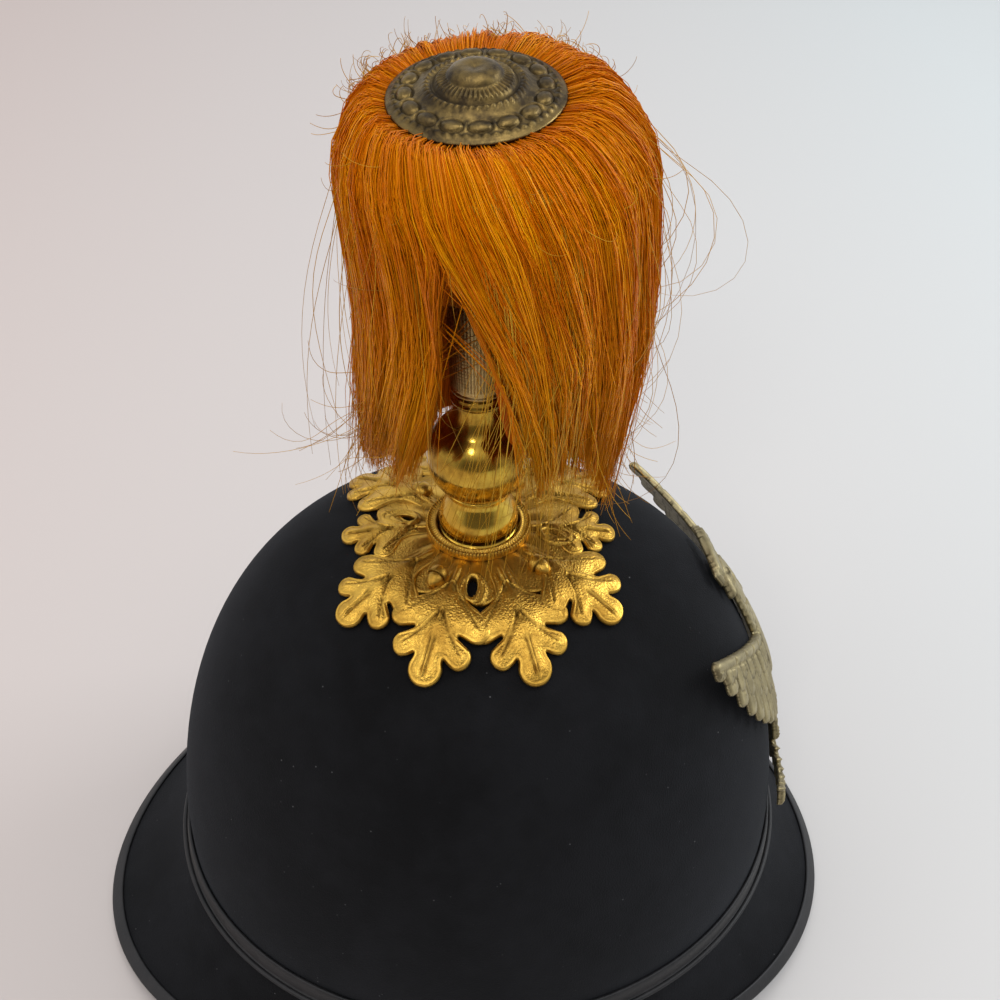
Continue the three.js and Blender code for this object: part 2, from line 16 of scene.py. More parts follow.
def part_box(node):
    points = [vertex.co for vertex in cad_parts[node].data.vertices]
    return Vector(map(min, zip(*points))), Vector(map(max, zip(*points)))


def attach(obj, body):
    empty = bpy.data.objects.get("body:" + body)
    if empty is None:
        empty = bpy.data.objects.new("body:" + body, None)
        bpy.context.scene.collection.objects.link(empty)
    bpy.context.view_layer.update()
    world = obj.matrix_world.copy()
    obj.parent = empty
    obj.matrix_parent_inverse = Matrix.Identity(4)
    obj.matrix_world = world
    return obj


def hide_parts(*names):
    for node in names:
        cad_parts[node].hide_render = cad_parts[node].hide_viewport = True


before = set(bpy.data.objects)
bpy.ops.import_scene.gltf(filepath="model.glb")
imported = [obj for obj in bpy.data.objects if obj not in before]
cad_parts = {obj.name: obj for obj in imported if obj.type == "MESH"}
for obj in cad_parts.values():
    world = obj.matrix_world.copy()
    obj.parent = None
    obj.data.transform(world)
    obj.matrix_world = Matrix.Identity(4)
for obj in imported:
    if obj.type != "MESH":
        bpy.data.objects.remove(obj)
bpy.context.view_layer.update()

print("solids:", ", ".join(sorted(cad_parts)))

# %% [markdown]
# The helmet's own formulas are easiest to read in millimetres, measured from the axis of the spike and from
# the plane that the brim stands on. The reeded ring round the spike shows where that axis is, and its foot
# shows the height, so one small function turns such millimetres into places in the scene.

# %% From helmet millimetres to the scene
MM = 0.001
RING_FOOT = 186.5  # height of the reeded ring's foot above the plane of the brim

ring_low, ring_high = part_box("milled_ring")
ORIGIN = np.array([
    (ring_low[0] + ring_high[0]) / 2,
    (ring_low[1] + ring_high[1]) / 2,
    ring_low[2] - RING_FOOT * MM,
])


def placed(points):
    """Scene metres of points in millimetres from the spike's axis and the brim's plane."""
    return np.asarray(points, float) * MM + ORIGIN


def mix(a, b, part):
    """Value a part of the way from a to b."""
    return a + (b - a) * part


def smoothstep(value, low, high):
    """0 below low, 1 above high, and 3t^2 - 2t^3 between them."""
    t = np.clip((value - low) / (high - low), 0, 1)
    return t * t * (3 - 2 * t)


def bell(value, middle, width):
    """1 at the middle, falling off on both sides as a bell whose half width is given."""
    return np.exp(-(((value - middle) / width) ** 2))


def ridge(distance, height, middle, width):
    """Ridge, or groove where the height is negative, whose section over a distance is a bell."""
    return height * bell(distance, middle, width)


def unit(vectors):
    """Vectors of length one, each divided by its own length."""
    return vectors / np.maximum(np.linalg.norm(vectors, axis=-1, keepdims=True), 1e-9)


print("spike axis at", np.round(ORIGIN, 5))

# %% [markdown]
# Every new piece is a grid of points. Three helpers turn grids into meshes: one numbers the cells of a
# grid, one draws a smooth curve through a few knots, and one makes the Blender object, turns its faces
# outwards by the sign of its volume, hangs it on the body that it rides on and hides the solids that it
# stands for.

# %% Grids, smooth lines and pieces
ROOT_BODY = "root"
NO_FACES = np.zeros((0, 3), int)


def grid_cells(rows, columns, ring_rows=False, ring_columns=False):
    """Corner numbers of a grid's cells, its points stored row after row. A ring joins end to start."""
    row = np.arange(rows if ring_rows else rows - 1)[:, None]
    column = np.arange(columns if ring_columns else columns - 1)[None, :]
    above = (row + 1) % rows
    beside = (column + 1) % columns
    here, next_row = row * columns, above * columns
    corners = [here + column, here + beside, next_row + beside, next_row + column]
    return np.stack(np.broadcast_arrays(*corners), axis=-1).reshape(-1, 4)


def smooth_line(knots, count):
    """Curve through the knots, of cubics whose slope at a knot is half the step between its neighbours."""
    knots = np.asarray(knots, float)
    padded = np.vstack([2 * knots[0] - knots[1], knots, 2 * knots[-1] - knots[-2]])
    at = np.linspace(0, len(knots) - 1, count)
    span = np.minimum(at.astype(int), len(knots) - 2)
    f = (at - span)[:, None]
    p0, p1, p2, p3 = (padded[span + i] for i in range(4))
    square = 2 * p0 - 5 * p1 + 4 * p2 - p3
    cube = 3 * p1 - p0 - 3 * p2 + p3
    return 0.5 * (2 * p1 + (p2 - p0) * f + square * f**2 + cube * f**3)


def outward(points, quads, tris):
    """The faces, turned over if the volume that they enclose comes out negative."""
    corners = np.concatenate([quads[:, [0, 1, 2]], quads[:, [0, 2, 3]], tris])
    a, b, c = points[corners[:, 0]], points[corners[:, 1]], points[corners[:, 2]]
    volume = np.sum(a * np.cross(b, c))
    return (quads[:, ::-1], tris[:, ::-1]) if volume < 0 else (quads, tris)


def gathered(parts):
    """Several (points, quads, tris, masks) as one, each part's faces turned outwards."""
    points, quads, tris, masks, start = [], [], [], {}, 0
    for part_points, part_quads, part_tris, part_masks in parts:
        part_quads, part_tris = outward(part_points, part_quads, part_tris)
        points.append(part_points)
        quads.append(part_quads + start)
        tris.append(part_tris + start)
        for key, values in part_masks.items():
            masks.setdefault(key, []).append(values)
        start += len(part_points)
    masks = {key: np.concatenate(values) for key, values in masks.items()}
    return np.concatenate(points), np.concatenate(quads), np.concatenate(tris), masks


def make_piece(name, parts, finish, stands_for=(), weld=None):
    """Object of one or more closed grids in helmet millimetres, with a float attribute for each mask."""
    points, quads, tris, masks = gathered(parts)
    mesh = bpy.data.meshes.new(name)
    mesh.vertices.add(len(points))
    mesh.vertices.foreach_set("co", placed(points).ravel())
    corners = np.concatenate([quads.ravel(), tris.ravel()])
    sizes = np.concatenate([np.full(len(quads), 4), np.full(len(tris), 3)])
    mesh.loops.add(len(corners))
    mesh.loops.foreach_set("vertex_index", corners)
    mesh.polygons.add(len(sizes))
    mesh.polygons.foreach_set("loop_start", np.cumsum(sizes) - sizes)
    for key, values in masks.items():
        mesh.attributes.new(key, "FLOAT", "POINT").data.foreach_set("value", values.astype(np.float32))
    mesh.update(calc_edges=True)
    if weld:
        held = bmesh.new()
        held.from_mesh(mesh)
        bmesh.ops.remove_doubles(held, verts=held.verts, dist=weld * MM)
        held.to_mesh(mesh)
        held.free()
    mesh.polygons.foreach_set("use_smooth", np.ones(len(mesh.polygons), bool))
    mesh.materials.append(finish)
    made = bpy.data.objects.new(name, mesh)
    bpy.context.scene.collection.objects.link(made)
    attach(made, ROOT_BODY)
    if stands_for:
        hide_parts(*stands_for)
    mesh.calc_loop_triangles()
    print(f"{name}: {len(mesh.loop_triangles)} triangles")
    return made


def round_angles(steps):
    """Angles of evenly spaced steps round the spike, from the front, as a column."""
    return np.linspace(0, 2 * math.pi, steps, endpoint=False)[:, None]


def spun(radius, angle, height):
    """Points at radii round the spike. Angles start at the front and grow to the wearer's left."""
    radius, angle, height = np.broadcast_arrays(radius, angle, height)
    return np.stack([radius * np.sin(angle), -radius * np.cos(angle), height], axis=-1)


def turned(profile, steps, masks, out=0.0, up=0.0):
    """
    Closed ring turned about the spike from a closed profile of (radius, height) points. A relief may move
    them out and up. It and the masks follow the profile, or the grid of steps round and points along.
    """
    shape = (steps, len(profile))
    points = spun(profile[:, 0] + out, round_angles(steps), profile[:, 1] + up)
    spread = {key: np.broadcast_to(values, shape).ravel() for key, values in masks.items()}
    return points.reshape(-1, 3), grid_cells(*shape, True, True), NO_FACES, spread


# %% [markdown]
# Materials are built from nodes. A tiny helper places a node and either links or sets each of its inputs.
# Two effects are shared by several finishes, so each is a node group made once: one mottles a colour the
# way tarnish and handling do, and one makes fine grain for a bump.

# %% Node helpers and shared effects
def node(tree, kind, inputs=None, **settings):
    """New node in a tree. An input given a socket is linked to it, and any other value is set on it."""
    made = tree.nodes.new(kind)
    for key, value in settings.items():
        setattr(made, key, value)
    for key, value in (inputs or {}).items():
        if isinstance(value, bpy.types.NodeSocket):
            tree.links.new(value, made.inputs[key])
        else:
            made.inputs[key].default_value = value
    return made


def colour(red, green, blue):
    """Opaque colour of three linear parts."""
    return (red, green, blue, 1.0)


def mixed(tree, part, first, second):
    """Colour socket between two colours or sockets."""
    return node(tree, "ShaderNodeMix", {0: part, 6: first, 7: second}, data_type="RGBA").outputs[2]


def ranged(tree, value, low, high, to_low=0.0, to_high=1.0):
    """Value socket stretched from one range to another, and kept inside it."""
    inputs = {0: value, 1: low, 2: high, 3: to_low, 4: to_high}
    return node(tree, "ShaderNodeMapRange", inputs).outputs[0]


def maths(tree, operation, first, second):
    """Value socket of one operation on two values or sockets."""
    return node(tree, "ShaderNodeMath", {0: first, 1: second}, operation=operation).outputs[0]


def noise(tree, place, scale, detail):
    """Value socket of a noise over a place."""
    return node(tree, "ShaderNodeTexNoise", {"Vector": place, "Scale": scale, "Detail": detail}).outputs[0]


def effect_group(name, inputs, outputs):
    """Node group with named inputs of (kind, default), outputs of a kind, and the nodes at its two ends."""
    group = bpy.data.node_groups.new(name, "ShaderNodeTree")
    for key, (kind, default) in inputs.items():
        group.interface.new_socket(key, in_out="INPUT", socket_type=kind).default_value = default
    for key, kind in outputs.items():
        group.interface.new_socket(key, in_out="OUTPUT", socket_type=kind)
    return group, group.nodes.new("NodeGroupInput"), group.nodes.new("NodeGroupOutput")


BLOTCH = {"finer": 6.0, "fine_share": 0.3, "clean_below": 0.42, "stained_above": 0.62}


def mottle_group():
    """Blotches: a broad and a finer noise of the Object coordinates, added, blend two colours."""
    group, start, end = effect_group(
        "mottle",
        {
            "Scale": ("NodeSocketFloat", 60.0),
            "Clean": ("NodeSocketColor", colour(0.8, 0.6, 0.2)),
            "Stained": ("NodeSocketColor", colour(0.3, 0.2, 0.1)),
            "Amount": ("NodeSocketFloat", 1.0),
        },
        {"Color": "NodeSocketColor", "Mask": "NodeSocketFloat"},
    )
    place = node(group, "ShaderNodeTexCoord").outputs["Object"]
    broad = noise(group, place, start.outputs["Scale"], 6.0)
    fine = noise(group, place, maths(group, "MULTIPLY", start.outputs["Scale"], BLOTCH["finer"]), 3.0)
    broad_share = maths(group, "MULTIPLY", broad, 1 - BLOTCH["fine_share"])
    blend = maths(group, "ADD", broad_share, maths(group, "MULTIPLY", fine, BLOTCH["fine_share"]))
    stained = ranged(group, blend, BLOTCH["clean_below"], BLOTCH["stained_above"])
    mask = maths(group, "MULTIPLY", stained, start.outputs["Amount"])
    group.links.new(mixed(group, mask, start.outputs["Clean"], start.outputs["Stained"]), end.inputs["Color"])
    group.links.new(mask, end.inputs["Mask"])
    return group


def grain_group():
    """Fine grain: a noise and the cells of a Voronoi pattern, averaged, as a height."""
    inputs, outputs = {"Scale": ("NodeSocketFloat", 1500.0)}, {"Height": "NodeSocketFloat"}
    group, start, end = effect_group("grain", inputs, outputs)
    place = node(group, "ShaderNodeTexCoord").outputs["Object"]
    cells = node(group, "ShaderNodeTexVoronoi", {"Vector": place, "Scale": start.outputs["Scale"]})
    both = maths(group, "ADD", noise(group, place, start.outputs["Scale"], 2.0), cells.outputs["Distance"])
    group.links.new(maths(group, "MULTIPLY", both, 0.5), end.inputs["Height"])
    return group


MOTTLE = mottle_group()
GRAIN = grain_group()
print("shared effects:", MOTTLE.name, GRAIN.name)

# %% [markdown]
# A finish is a material with one Principled shader. These helpers make it, place a shared effect in it, and
# lead colours, bumps and the pieces' own masks to its sockets.

# %% Helpers of the finishes
def use_group(tree, group, **values):
    """Node that places a shared effect, with its inputs linked or set by name."""
    return node(tree, "ShaderNodeGroup", values, node_tree=group)


def material(name, metallic=0.0, **constants):
    """Material with one Principled BSDF, whose plain numbers are set on its own sockets."""
    made = bpy.data.materials.new(name)
    made.use_nodes = True
    tree = made.node_tree
    tree.nodes.clear()
    shader = node(tree, "ShaderNodeBsdfPrincipled", {"Metallic": metallic})
    for key, value in constants.items():
        shader.inputs[key.replace("_", " ")].default_value = value
    node(tree, "ShaderNodeOutputMaterial", {"Surface": shader.outputs[0]})
    return made, tree, shader


def link(tree, output, shader, socket):
    """Leads a value, colour or normal to a named socket of the shader."""
    tree.links.new(output, shader.inputs[socket])


def bump(tree, height, distance, strength):
    """Normal socket of a bump whose height of 1 stands for a distance in metres."""
    inputs = {"Height": height, "Distance": distance, "Strength": strength}
    return node(tree, "ShaderNodeBump", inputs).outputs[0]


def mask_value(tree, name):
    """Value socket of one of the piece's own masks."""
    return node(tree, "ShaderNodeAttribute", attribute_name=name).outputs["Fac"]


print("materials so far:", len(bpy.data.materials))

# %% [markdown]
# The body is one piece of stiff black felt, about 2.6 mm thick. Felt is matt with a soft bloom where light
# grazes its nap, so its shader has a little sheen, a very fine bump and tiny specks of lint. The specks are
# the middles of a few Voronoi cells.

# %% Felt finish
BLACK_FELT = colour(0.0045, 0.0044, 0.0048)
WORN_FELT = colour(0.0075, 0.0075, 0.0085)
LINT_GREY = colour(0.16, 0.16, 0.165)
LINT = {"cells": 330.0, "reach": 0.10, "core": 0.02, "chosen_above": 0.80}


def lint_specks(tree):
    """Mask of specks: the middles of those Voronoi cells whose random colour is high."""
    place = node(tree, "ShaderNodeTexCoord").outputs["Object"]
    cells = node(tree, "ShaderNodeTexVoronoi", {"Vector": place, "Scale": LINT["cells"]})
    near = ranged(tree, cells.outputs["Distance"], LINT["reach"], LINT["core"])
    random_value = node(tree, "ShaderNodeSeparateColor", {0: cells.outputs["Color"]}).outputs[0]
    return maths(tree, "MULTIPLY", near, ranged(tree, random_value, LINT["chosen_above"], 1.0))


def felt_finish():
    """Matt black wool: a faint mottle, specks of lint, fuzz, and a bloom where light grazes it."""
    made, tree, shader = material(
        "black_felt", Roughness=0.95, Specular_IOR_Level=0.1,
        Sheen_Weight=0.05, Sheen_Roughness=0.5, Sheen_Tint=colour(0.55, 0.6, 0.7),
    )
    nap = use_group(tree, MOTTLE, Scale=22.0, Clean=BLACK_FELT, Stained=WORN_FELT)
    link(tree, mixed(tree, lint_specks(tree), nap.outputs["Color"], LINT_GREY), shader, "Base Color")
    fuzz = use_group(tree, GRAIN, Scale=1900.0)
    link(tree, bump(tree, fuzz.outputs["Height"], 0.0004, 0.5), shader, "Normal")
    return made


FELT_FINISH = felt_finish()
print("finish:", FELT_FINISH.name)

# %% [markdown]
# Seen from above the crown is a squarish oval, and from the side a steep dome, so one formula serves: a
# superellipse. Below its foot the brim flares outwards and drops furthest at the front and rear. Small
# differences of the formula give the ways down the wall and out of it, for anything that is laid on it.

# %% The form of the felt
FELT = 2.6
CROWN = {"half_length": 111, "half_width": 97.4, "foot": 54, "top": 184.3, "squareness": 3.25, "fall": 1.76}
BRIM = {"front": 138.2, "rear": 149.2, "half_width": 106, "front_drop": 51, "side_drop": 31, "flare": 1.7}
ROUND_STEPS = 224


def brim_drop(angle):
    """How far the brim's edge lies below the crown's foot, from the square of the angle's sine."""
    return mix(BRIM["front_drop"], BRIM["side_drop"], np.sin(angle) ** 2)


def felt_point(station, angle):
    """
    Point on the felt. From station 0 at the top to 1 at the crown's foot, the reach is a power of the sine of
    a quarter turn, and the rise one of its cosine. From 1 to 2 the brim goes out by a power of the way down.
    """
    station, angle = np.broadcast_arrays(station, angle)
    sin, cos = np.sin(angle), np.cos(angle)
    turn = np.clip(station, 0, 1) * math.pi / 2
    reach = np.sin(turn) ** (2 / CROWN["squareness"])
    rise = np.clip(np.cos(turn), 0, 1) ** (2 / CROWN["fall"])
    down = np.clip(station - 1, 0, 1)
    out = down ** BRIM["flare"]
    edge = np.where(cos > 0, BRIM["front"], BRIM["rear"])
    half_length = mix(CROWN["half_length"], edge, out) * reach
    half_width = mix(CROWN["half_width"], BRIM["half_width"], out) * reach
    crown_height = mix(CROWN["foot"], CROWN["top"], rise)
    brim_height = CROWN["foot"] - brim_drop(angle) * down
    height = np.where(station <= 1, crown_height, brim_height)
    return np.stack([half_width * sin, -half_length * cos, height], axis=-1)


SMALL_STEP = 5e-4  # of a station, or of an angle in radians


def felt_offset(station, angle, along, off):
    """Point at a station, moved a distance down along the wall and another out of it."""
    station, angle, along, off = np.broadcast_arrays(station, angle, along, off)
    upper = felt_point(station - SMALL_STEP, angle)
    down = unit(felt_point(np.minimum(station + SMALL_STEP, 2), angle) - upper)
    about = felt_point(station, angle + SMALL_STEP) - felt_point(station, angle - SMALL_STEP)
    out = unit(np.cross(down, about))
    return felt_point(station, angle) + down * along[..., None] + out * off[..., None]


def section_ring(station, along, off):
    """Closed ring round the felt from one section, given by stations and distances along and off the wall."""
    points = felt_offset(station, round_angles(ROUND_STEPS), along, off)
    return points.reshape(-1, 3), grid_cells(ROUND_STEPS, points.shape[1], True, True), NO_FACES, {}


print("the brim drops by", BRIM["front_drop"], "mm at the front")

# %% [markdown]
# The felt's own section runs down its outside from the bolt's hole to the edge of the brim, and back up its
# inside with half as many points. They crowd towards the top and the foot, where the wall turns most.

# %% Felt body
BOLT_HOLE = 3.8
CROWN_STATIONS, CROWN_CROWDING = 46, 1.45
BRIM_STATIONS, BRIM_CROWDING = 20, 1.3


def felt_body():
    """Closed ring of sections: the outer line of stations down, then the inner line up."""
    hole = (BOLT_HOLE / CROWN["half_length"]) ** (CROWN["squareness"] / 2) / (math.pi / 2)
    crown = np.maximum(np.linspace(0, 1, CROWN_STATIONS)[1:] ** CROWN_CROWDING, hole)
    brim = 1 + np.linspace(0, 1, BRIM_STATIONS)[1:] ** BRIM_CROWDING
    outer = np.concatenate([[hole], crown, brim])
    inner = outer[::-2]
    off = np.concatenate([np.zeros(len(outer)), np.full(len(inner), -FELT)])
    return section_ring(np.concatenate([outer, inner])[None, :], 0.0, off[None, :])


make_piece("felt_body", [felt_body()], FELT_FINISH, ["felt_shell"])

# %% [markdown]
# Smooth black leather binds the edge of the brim and covers the foot of the crown, where its lower edge is
# rolled over a cord. Leather is smoother than felt and catches long soft highlights, so it has a low
# roughness broken by a faint mottle, with a very small grain.

# %% Leather finish
BLACK_LEATHER = colour(0.008, 0.008, 0.009)
WORN_LEATHER = colour(0.018, 0.017, 0.018)


def leather_finish():
    """Black leather, a little greyer and rougher in worn blotches, with a small grain."""
    made, tree, shader = material("black_leather", Roughness=0.45, Specular_IOR_Level=0.3)
    worn = use_group(tree, MOTTLE, Scale=70.0, Clean=BLACK_LEATHER, Stained=WORN_LEATHER)
    link(tree, worn.outputs["Color"], shader, "Base Color")
    link(tree, ranged(tree, worn.outputs["Mask"], 0, 1, 0.44, 0.56), shader, "Roughness")
    grain = use_group(tree, GRAIN, Scale=900.0)
    link(tree, bump(tree, grain.outputs["Height"], 0.0003, 0.25), shader, "Normal")
    return made


LEATHER_FINISH = leather_finish()
print("finish:", LEATHER_FINISH.name)

# %% [markdown]
# Each strip of leather is one section carried round the felt. The binding's section is worked out on one
# side of the felt's middle and mirrored to the other. The band's ends in the bead.

# %% Binding and band
BINDING = {"leg": 5, "leather": 1, "roll": 1.7, "gap": 0.3, "past_edge": 0.3}
# Rounding of the binding's lips: distances from a leg's end, and how far the leather is thinned there.
LIP = {"first": 0.15, "first_thinned": 0.12, "second": 0.6}
BAND = {"height": 9.5, "leather": 1.2, "bead": 2.4, "bead_height": 1.8, "gap": 0.3, "rounding": 0.35}
BAND_TOP = 0.05  # the band starts just below the crown's foot, where the brim's formula begins


def binding_section():
    """Two legs joined by a half-round roll, as (along, off) points, with rounded lips at the legs' ends."""
    inside = FELT / 2 + BINDING["gap"]
    outside = inside + BINDING["leather"]
    end = -BINDING["leg"]
    leg = np.array([
        [end, outside - BINDING["leather"] / 2], [end + LIP["first"], outside - LIP["first_thinned"]],
        [end + LIP["second"], outside], [end / 2, outside],
    ])
    roll = np.linspace(0, math.pi, 15)
    bend = np.stack([BINDING["roll"] * np.sin(roll), outside * np.cos(roll)], axis=-1)
    lining = np.array([[BINDING["past_edge"], inside], [end, inside]])
    mirror = [1, -1]
    section = np.concatenate([leg, bend, leg[::-1] * mirror, lining[::-1] * mirror, lining])
    return section - [0, FELT / 2]


def band_section():
    """Flat leather that ends in a round bead, as (below, off) points."""
    height, gap, rounding = BAND["height"], BAND["gap"], BAND["rounding"]
    outside = gap + BAND["leather"]
    radius = BAND["bead_height"] / 2
    turn = np.radians(np.linspace(10, 260, 12))
    centre = [height - radius, gap + BAND["bead"] - radius]
    bead = centre + radius * np.stack([np.cos(turn), np.sin(turn)], axis=-1)
    inner = [[0.4, gap], [height / 2, gap], [height, gap]]
    outer = [[height * 0.6, outside], [height * 0.3, outside]]
    top = [[2 * rounding, outside], [rounding, outside - rounding]]
    return np.concatenate([inner, bead, outer, top])


legs = binding_section()
edge_ring = section_ring(2.0, legs[:, 0][None], legs[:, 1][None])
make_piece("leather_binding", [edge_ring], LEATHER_FINISH, ["brim_binding"])
strip = band_section()
below = np.maximum(strip[:, 0], BAND_TOP)[None] / brim_drop(round_angles(ROUND_STEPS))
foot_ring = section_ring(1 + below, 0.0, strip[:, 1][None])
make_piece("leather_band", [foot_ring], LEATHER_FINISH, ["crown_band"])

# %% [markdown]
# All the metal is brass, from bright gilding to dark old tarnish. One function makes each of these
# finishes: two metal colours mottled together, a dark colour in hollows, creases and undersides (read from
# the piece's own mask), which is partly tarnish and partly painted shade, a roughness that rises with the
# stain, and a bump for matt grounds.

# %% Brass finishes
HOLLOW_ROUGHNESS = 0.6
PLAIN_SHARE = 0.15  # how much of the stipple is left where the ground isn't matt


def brass_finish(name, clean, stained, hollow, rough, scale, stipple=0.0, stipple_scale=2600.0, amount=1.0):
    """Metal of two tones and a darker one in its hollows. A stipple is a bump, given in metres."""
    made, tree, shader = material(name, metallic=1.0)
    stain = use_group(tree, MOTTLE, Scale=scale, Clean=clean, Stained=stained, Amount=amount)
    # The hollow mask darkens grooves, creases and undersides: partly tarnish and partly painted shade.
    deep = mask_value(tree, "hollow")
    link(tree, mixed(tree, deep, stain.outputs["Color"], hollow), shader, "Base Color")
    roughness = ranged(tree, stain.outputs["Mask"], 0, 1, *rough)
    settled = {0: deep, 2: roughness, 3: HOLLOW_ROUGHNESS}
    link(tree, node(tree, "ShaderNodeMix", settled, data_type="FLOAT").outputs[0], shader, "Roughness")
    if stipple:
        matt = ranged(tree, mask_value(tree, "matt"), 0, 1, PLAIN_SHARE, 1.0)
        grain = use_group(tree, GRAIN, Scale=stipple_scale)
        stippled = maths(tree, "MULTIPLY", grain.outputs["Height"], matt)
        link(tree, bump(tree, stippled, stipple, 0.8), shader, "Normal")
    return made


GILT_FINISH = brass_finish(
    "gilt_brass", colour(0.68, 0.405, 0.068), colour(0.43, 0.235, 0.036), colour(0.08, 0.038, 0.006),
    rough=(0.32, 0.46), scale=90.0, stipple=0.00035, stipple_scale=1500.0,
)
POLISHED_FINISH = brass_finish(
    "polished_brass", colour(0.66, 0.42, 0.06), colour(0.25, 0.135, 0.02), colour(0.05, 0.022, 0.005),
    rough=(0.1, 0.3), scale=62.0,
)
RIBBED_FINISH = brass_finish(
    "ribbed_brass", colour(0.62, 0.45, 0.19), colour(0.42, 0.28, 0.10), colour(0.06, 0.035, 0.012),
    rough=(0.25, 0.4), scale=80.0,
)
OLD_FINISH = brass_finish(
    "tarnished_brass", colour(0.19, 0.128, 0.044), colour(0.036, 0.026, 0.016), colour(0.02, 0.014, 0.008),
    rough=(0.3, 0.48), scale=110.0, stipple=0.0001, amount=0.95,
)
DULL_FINISH = brass_finish(
    "dull_brass", colour(0.41, 0.34, 0.185), colour(0.28, 0.235, 0.135), colour(0.07, 0.055, 0.03),
    rough=(0.42, 0.55), scale=60.0, stipple=0.00015,
)
# The bolt under the spike is out of sight, so its solid stays as it is and only gets plain grey steel.
STEEL_FINISH = brass_finish(
    "plain_steel", colour(0.35, 0.35, 0.36), colour(0.16, 0.12, 0.09), colour(0.05, 0.04, 0.04),
    rough=(0.45, 0.6), scale=120.0,
)
bolt_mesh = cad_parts["spike_bolt"].data
bolt_mesh.materials.clear()
bolt_mesh.materials.append(STEEL_FINISH)
print("bolt:", bolt_mesh.materials[0].name)

# %% [markdown]
# The base of the spike is one sheet of brass, stamped into ten oak leaves that overlap, then gilded. A leaf
# is a grid laid out the way its veins run: each line leaves the midrib where a side vein would, and ends on
# the margin. The rolled rim, the grooves and the veins are then heights that depend only on the distance to
# the margin or to a vein, and the outline stays smooth.

# %% Outline and veins of a leaf
SEAT_HEIGHT = 0.7  # the sheet's lower face over the felt
SHEET = 1.2
BASE_TURN = -93  # direction of the base's own axis, in degrees from the front
LEAF_STATIONS = 126
LEAF_LINES = 13
LINE_CROWDING = 0.55  # how far the lines crowd towards the margin, where the rim is rolled
LEAF_ROOT, LONGEST = 17.5, 57.2
# The longest leaf's margin: distance from the spike, half width, and where its line leaves the midrib.
MARGIN = [
    (17.5, 3.6, 17.5), (22, 3.9, 20), (27, 4.3, 23.2), (30.3, 5.6, 25.6), (32.6, 8.6, 27.4),
    (34.1, 12.0, 29.0), (36.6, 14.7, 30.4), (39.6, 15.5, 31.8), (42.0, 14.4, 33.2), (43.1, 11.6, 34.5),
    (42.6, 8.8, 35.8), (42.3, 7.0, 37.0), (43.4, 7.1, 38.2), (44.3, 9.0, 39.3), (45.4, 11.2, 40.4),
    (47.6, 12.1, 41.4), (50.0, 11.1, 42.5), (51.2, 8.8, 43.6), (50.6, 6.4, 44.8), (49.6, 4.7, 45.9),
    (50.6, 4.5, 47.2), (52.4, 5.1, 48.6), (54.6, 4.7, 49.8), (56.2, 3.3, 50.8), (57.0, 1.6, 51.6),
    (57.2, 0.0, 52.0),
]
# Veins: the midrib's end, and each side vein from the midrib, through a bend, to its lobe.
SIDE_VEINS = [[(26.5, 0.4), (32.5, 5.0), (39.0, 11.8)], [(36.5, 0.3), (42.5, 4.0), (47.6, 8.8)]]
MIDRIB_END = 54.5
RIB_WIDTH = {"root": 1.15, "tip": 0.55}
# Ridges and grooves: height, and middle and half width over the distance to the margin or a vein.
ROLLED_RIM, THIN_EDGE = (0.42, 0.55, 0.36), (-0.55, 0.0, 0.28)
VEIN_SWELL, VEIN_GROOVE = (0.22, 0.75, 0.4), (-0.62, 0.0, 0.3)
RIB_HEIGHT, RIB_GROOVE_DEPTH, RIB_GROOVE_WIDTH = 0.5, 0.6, 0.3
PLUMP = {"height": 1.15, "reach": 2.4, "power": 1.5}
THIN_SHEET = 0.75  # the margin's thickness as a share of the sheet's


def distance_to_line(along, across, line):
    """Shortest distance from each point to a line of straight spans."""
    line = np.asarray(line, float)
    start, step = line[:-1], np.diff(line, axis=0)
    offset = np.stack([along, across], axis=-1)[..., None, :] - start
    part = np.clip(np.sum(offset * step, axis=-1) / np.maximum(np.sum(step * step, axis=-1), 1e-9), 0, 1)
    return np.min(np.linalg.norm(offset - part[..., None] * step, axis=-1), axis=-1)


def leaf_pattern():
    """
    Grid of the longest leaf: places along and across it, height of its face, and its hollow and matt masks.
    Heights are sums of bells of the distances to the margin, midrib and veins.
    """
    margin = smooth_line(MARGIN, LEAF_STATIONS)
    part = np.linspace(-1, 1, 2 * LEAF_LINES + 1)
    part = mix(part, np.sin(part * math.pi / 2), LINE_CROWDING)
    along = mix(margin[:, 2:3], margin[:, 0:1], np.abs(part))
    across = margin[:, 1:2] * part
    side = np.abs(across)
    edge = distance_to_line(along, side, margin[:, :2])
    veins = np.min([distance_to_line(along, side, smooth_line(vein, 8)) for vein in SIDE_VEINS], axis=0)
    live = smoothstep(along, 18.0, 22.0) * smoothstep(along, MIDRIB_END + 1.5, MIDRIB_END - 2)
    rib_width = mix(RIB_WIDTH["root"], RIB_WIDTH["tip"], smoothstep(along, 20, 50))
    rib_groove = bell(side, rib_width, RIB_GROOVE_WIDTH) * live
    vein_groove = bell(veins, *VEIN_GROOVE[1:]) * smoothstep(edge, 0.6, 1.8)
    height = SHEET * THIN_SHEET + PLUMP["height"] * (1 - np.exp(-((edge / PLUMP["reach"]) ** PLUMP["power"])))
    height += ridge(edge, *ROLLED_RIM) + ridge(edge, *THIN_EDGE)
    height += RIB_HEIGHT * live * bell(side, 0, rib_width * 0.8) - RIB_GROOVE_DEPTH * rib_groove
    height += ridge(veins, *VEIN_SWELL) * smoothstep(edge, 0.8, 2) + VEIN_GROOVE[0] * vein_groove
    # Hollow along the midrib, the veins and inside the rolled rim: partly tarnish and partly painted shade.
    hollow = 0.85 * rib_groove + 0.8 * vein_groove + ridge(edge, 0.3, 1.35, 0.35) + ridge(edge, 0.5, 0, 0.2)
    matt = smoothstep(edge, 0.8, 1.6) * (1 - 0.7 * bell(side, 0, rib_width))
    return along, across, height, np.clip(hollow, 0, 1), matt


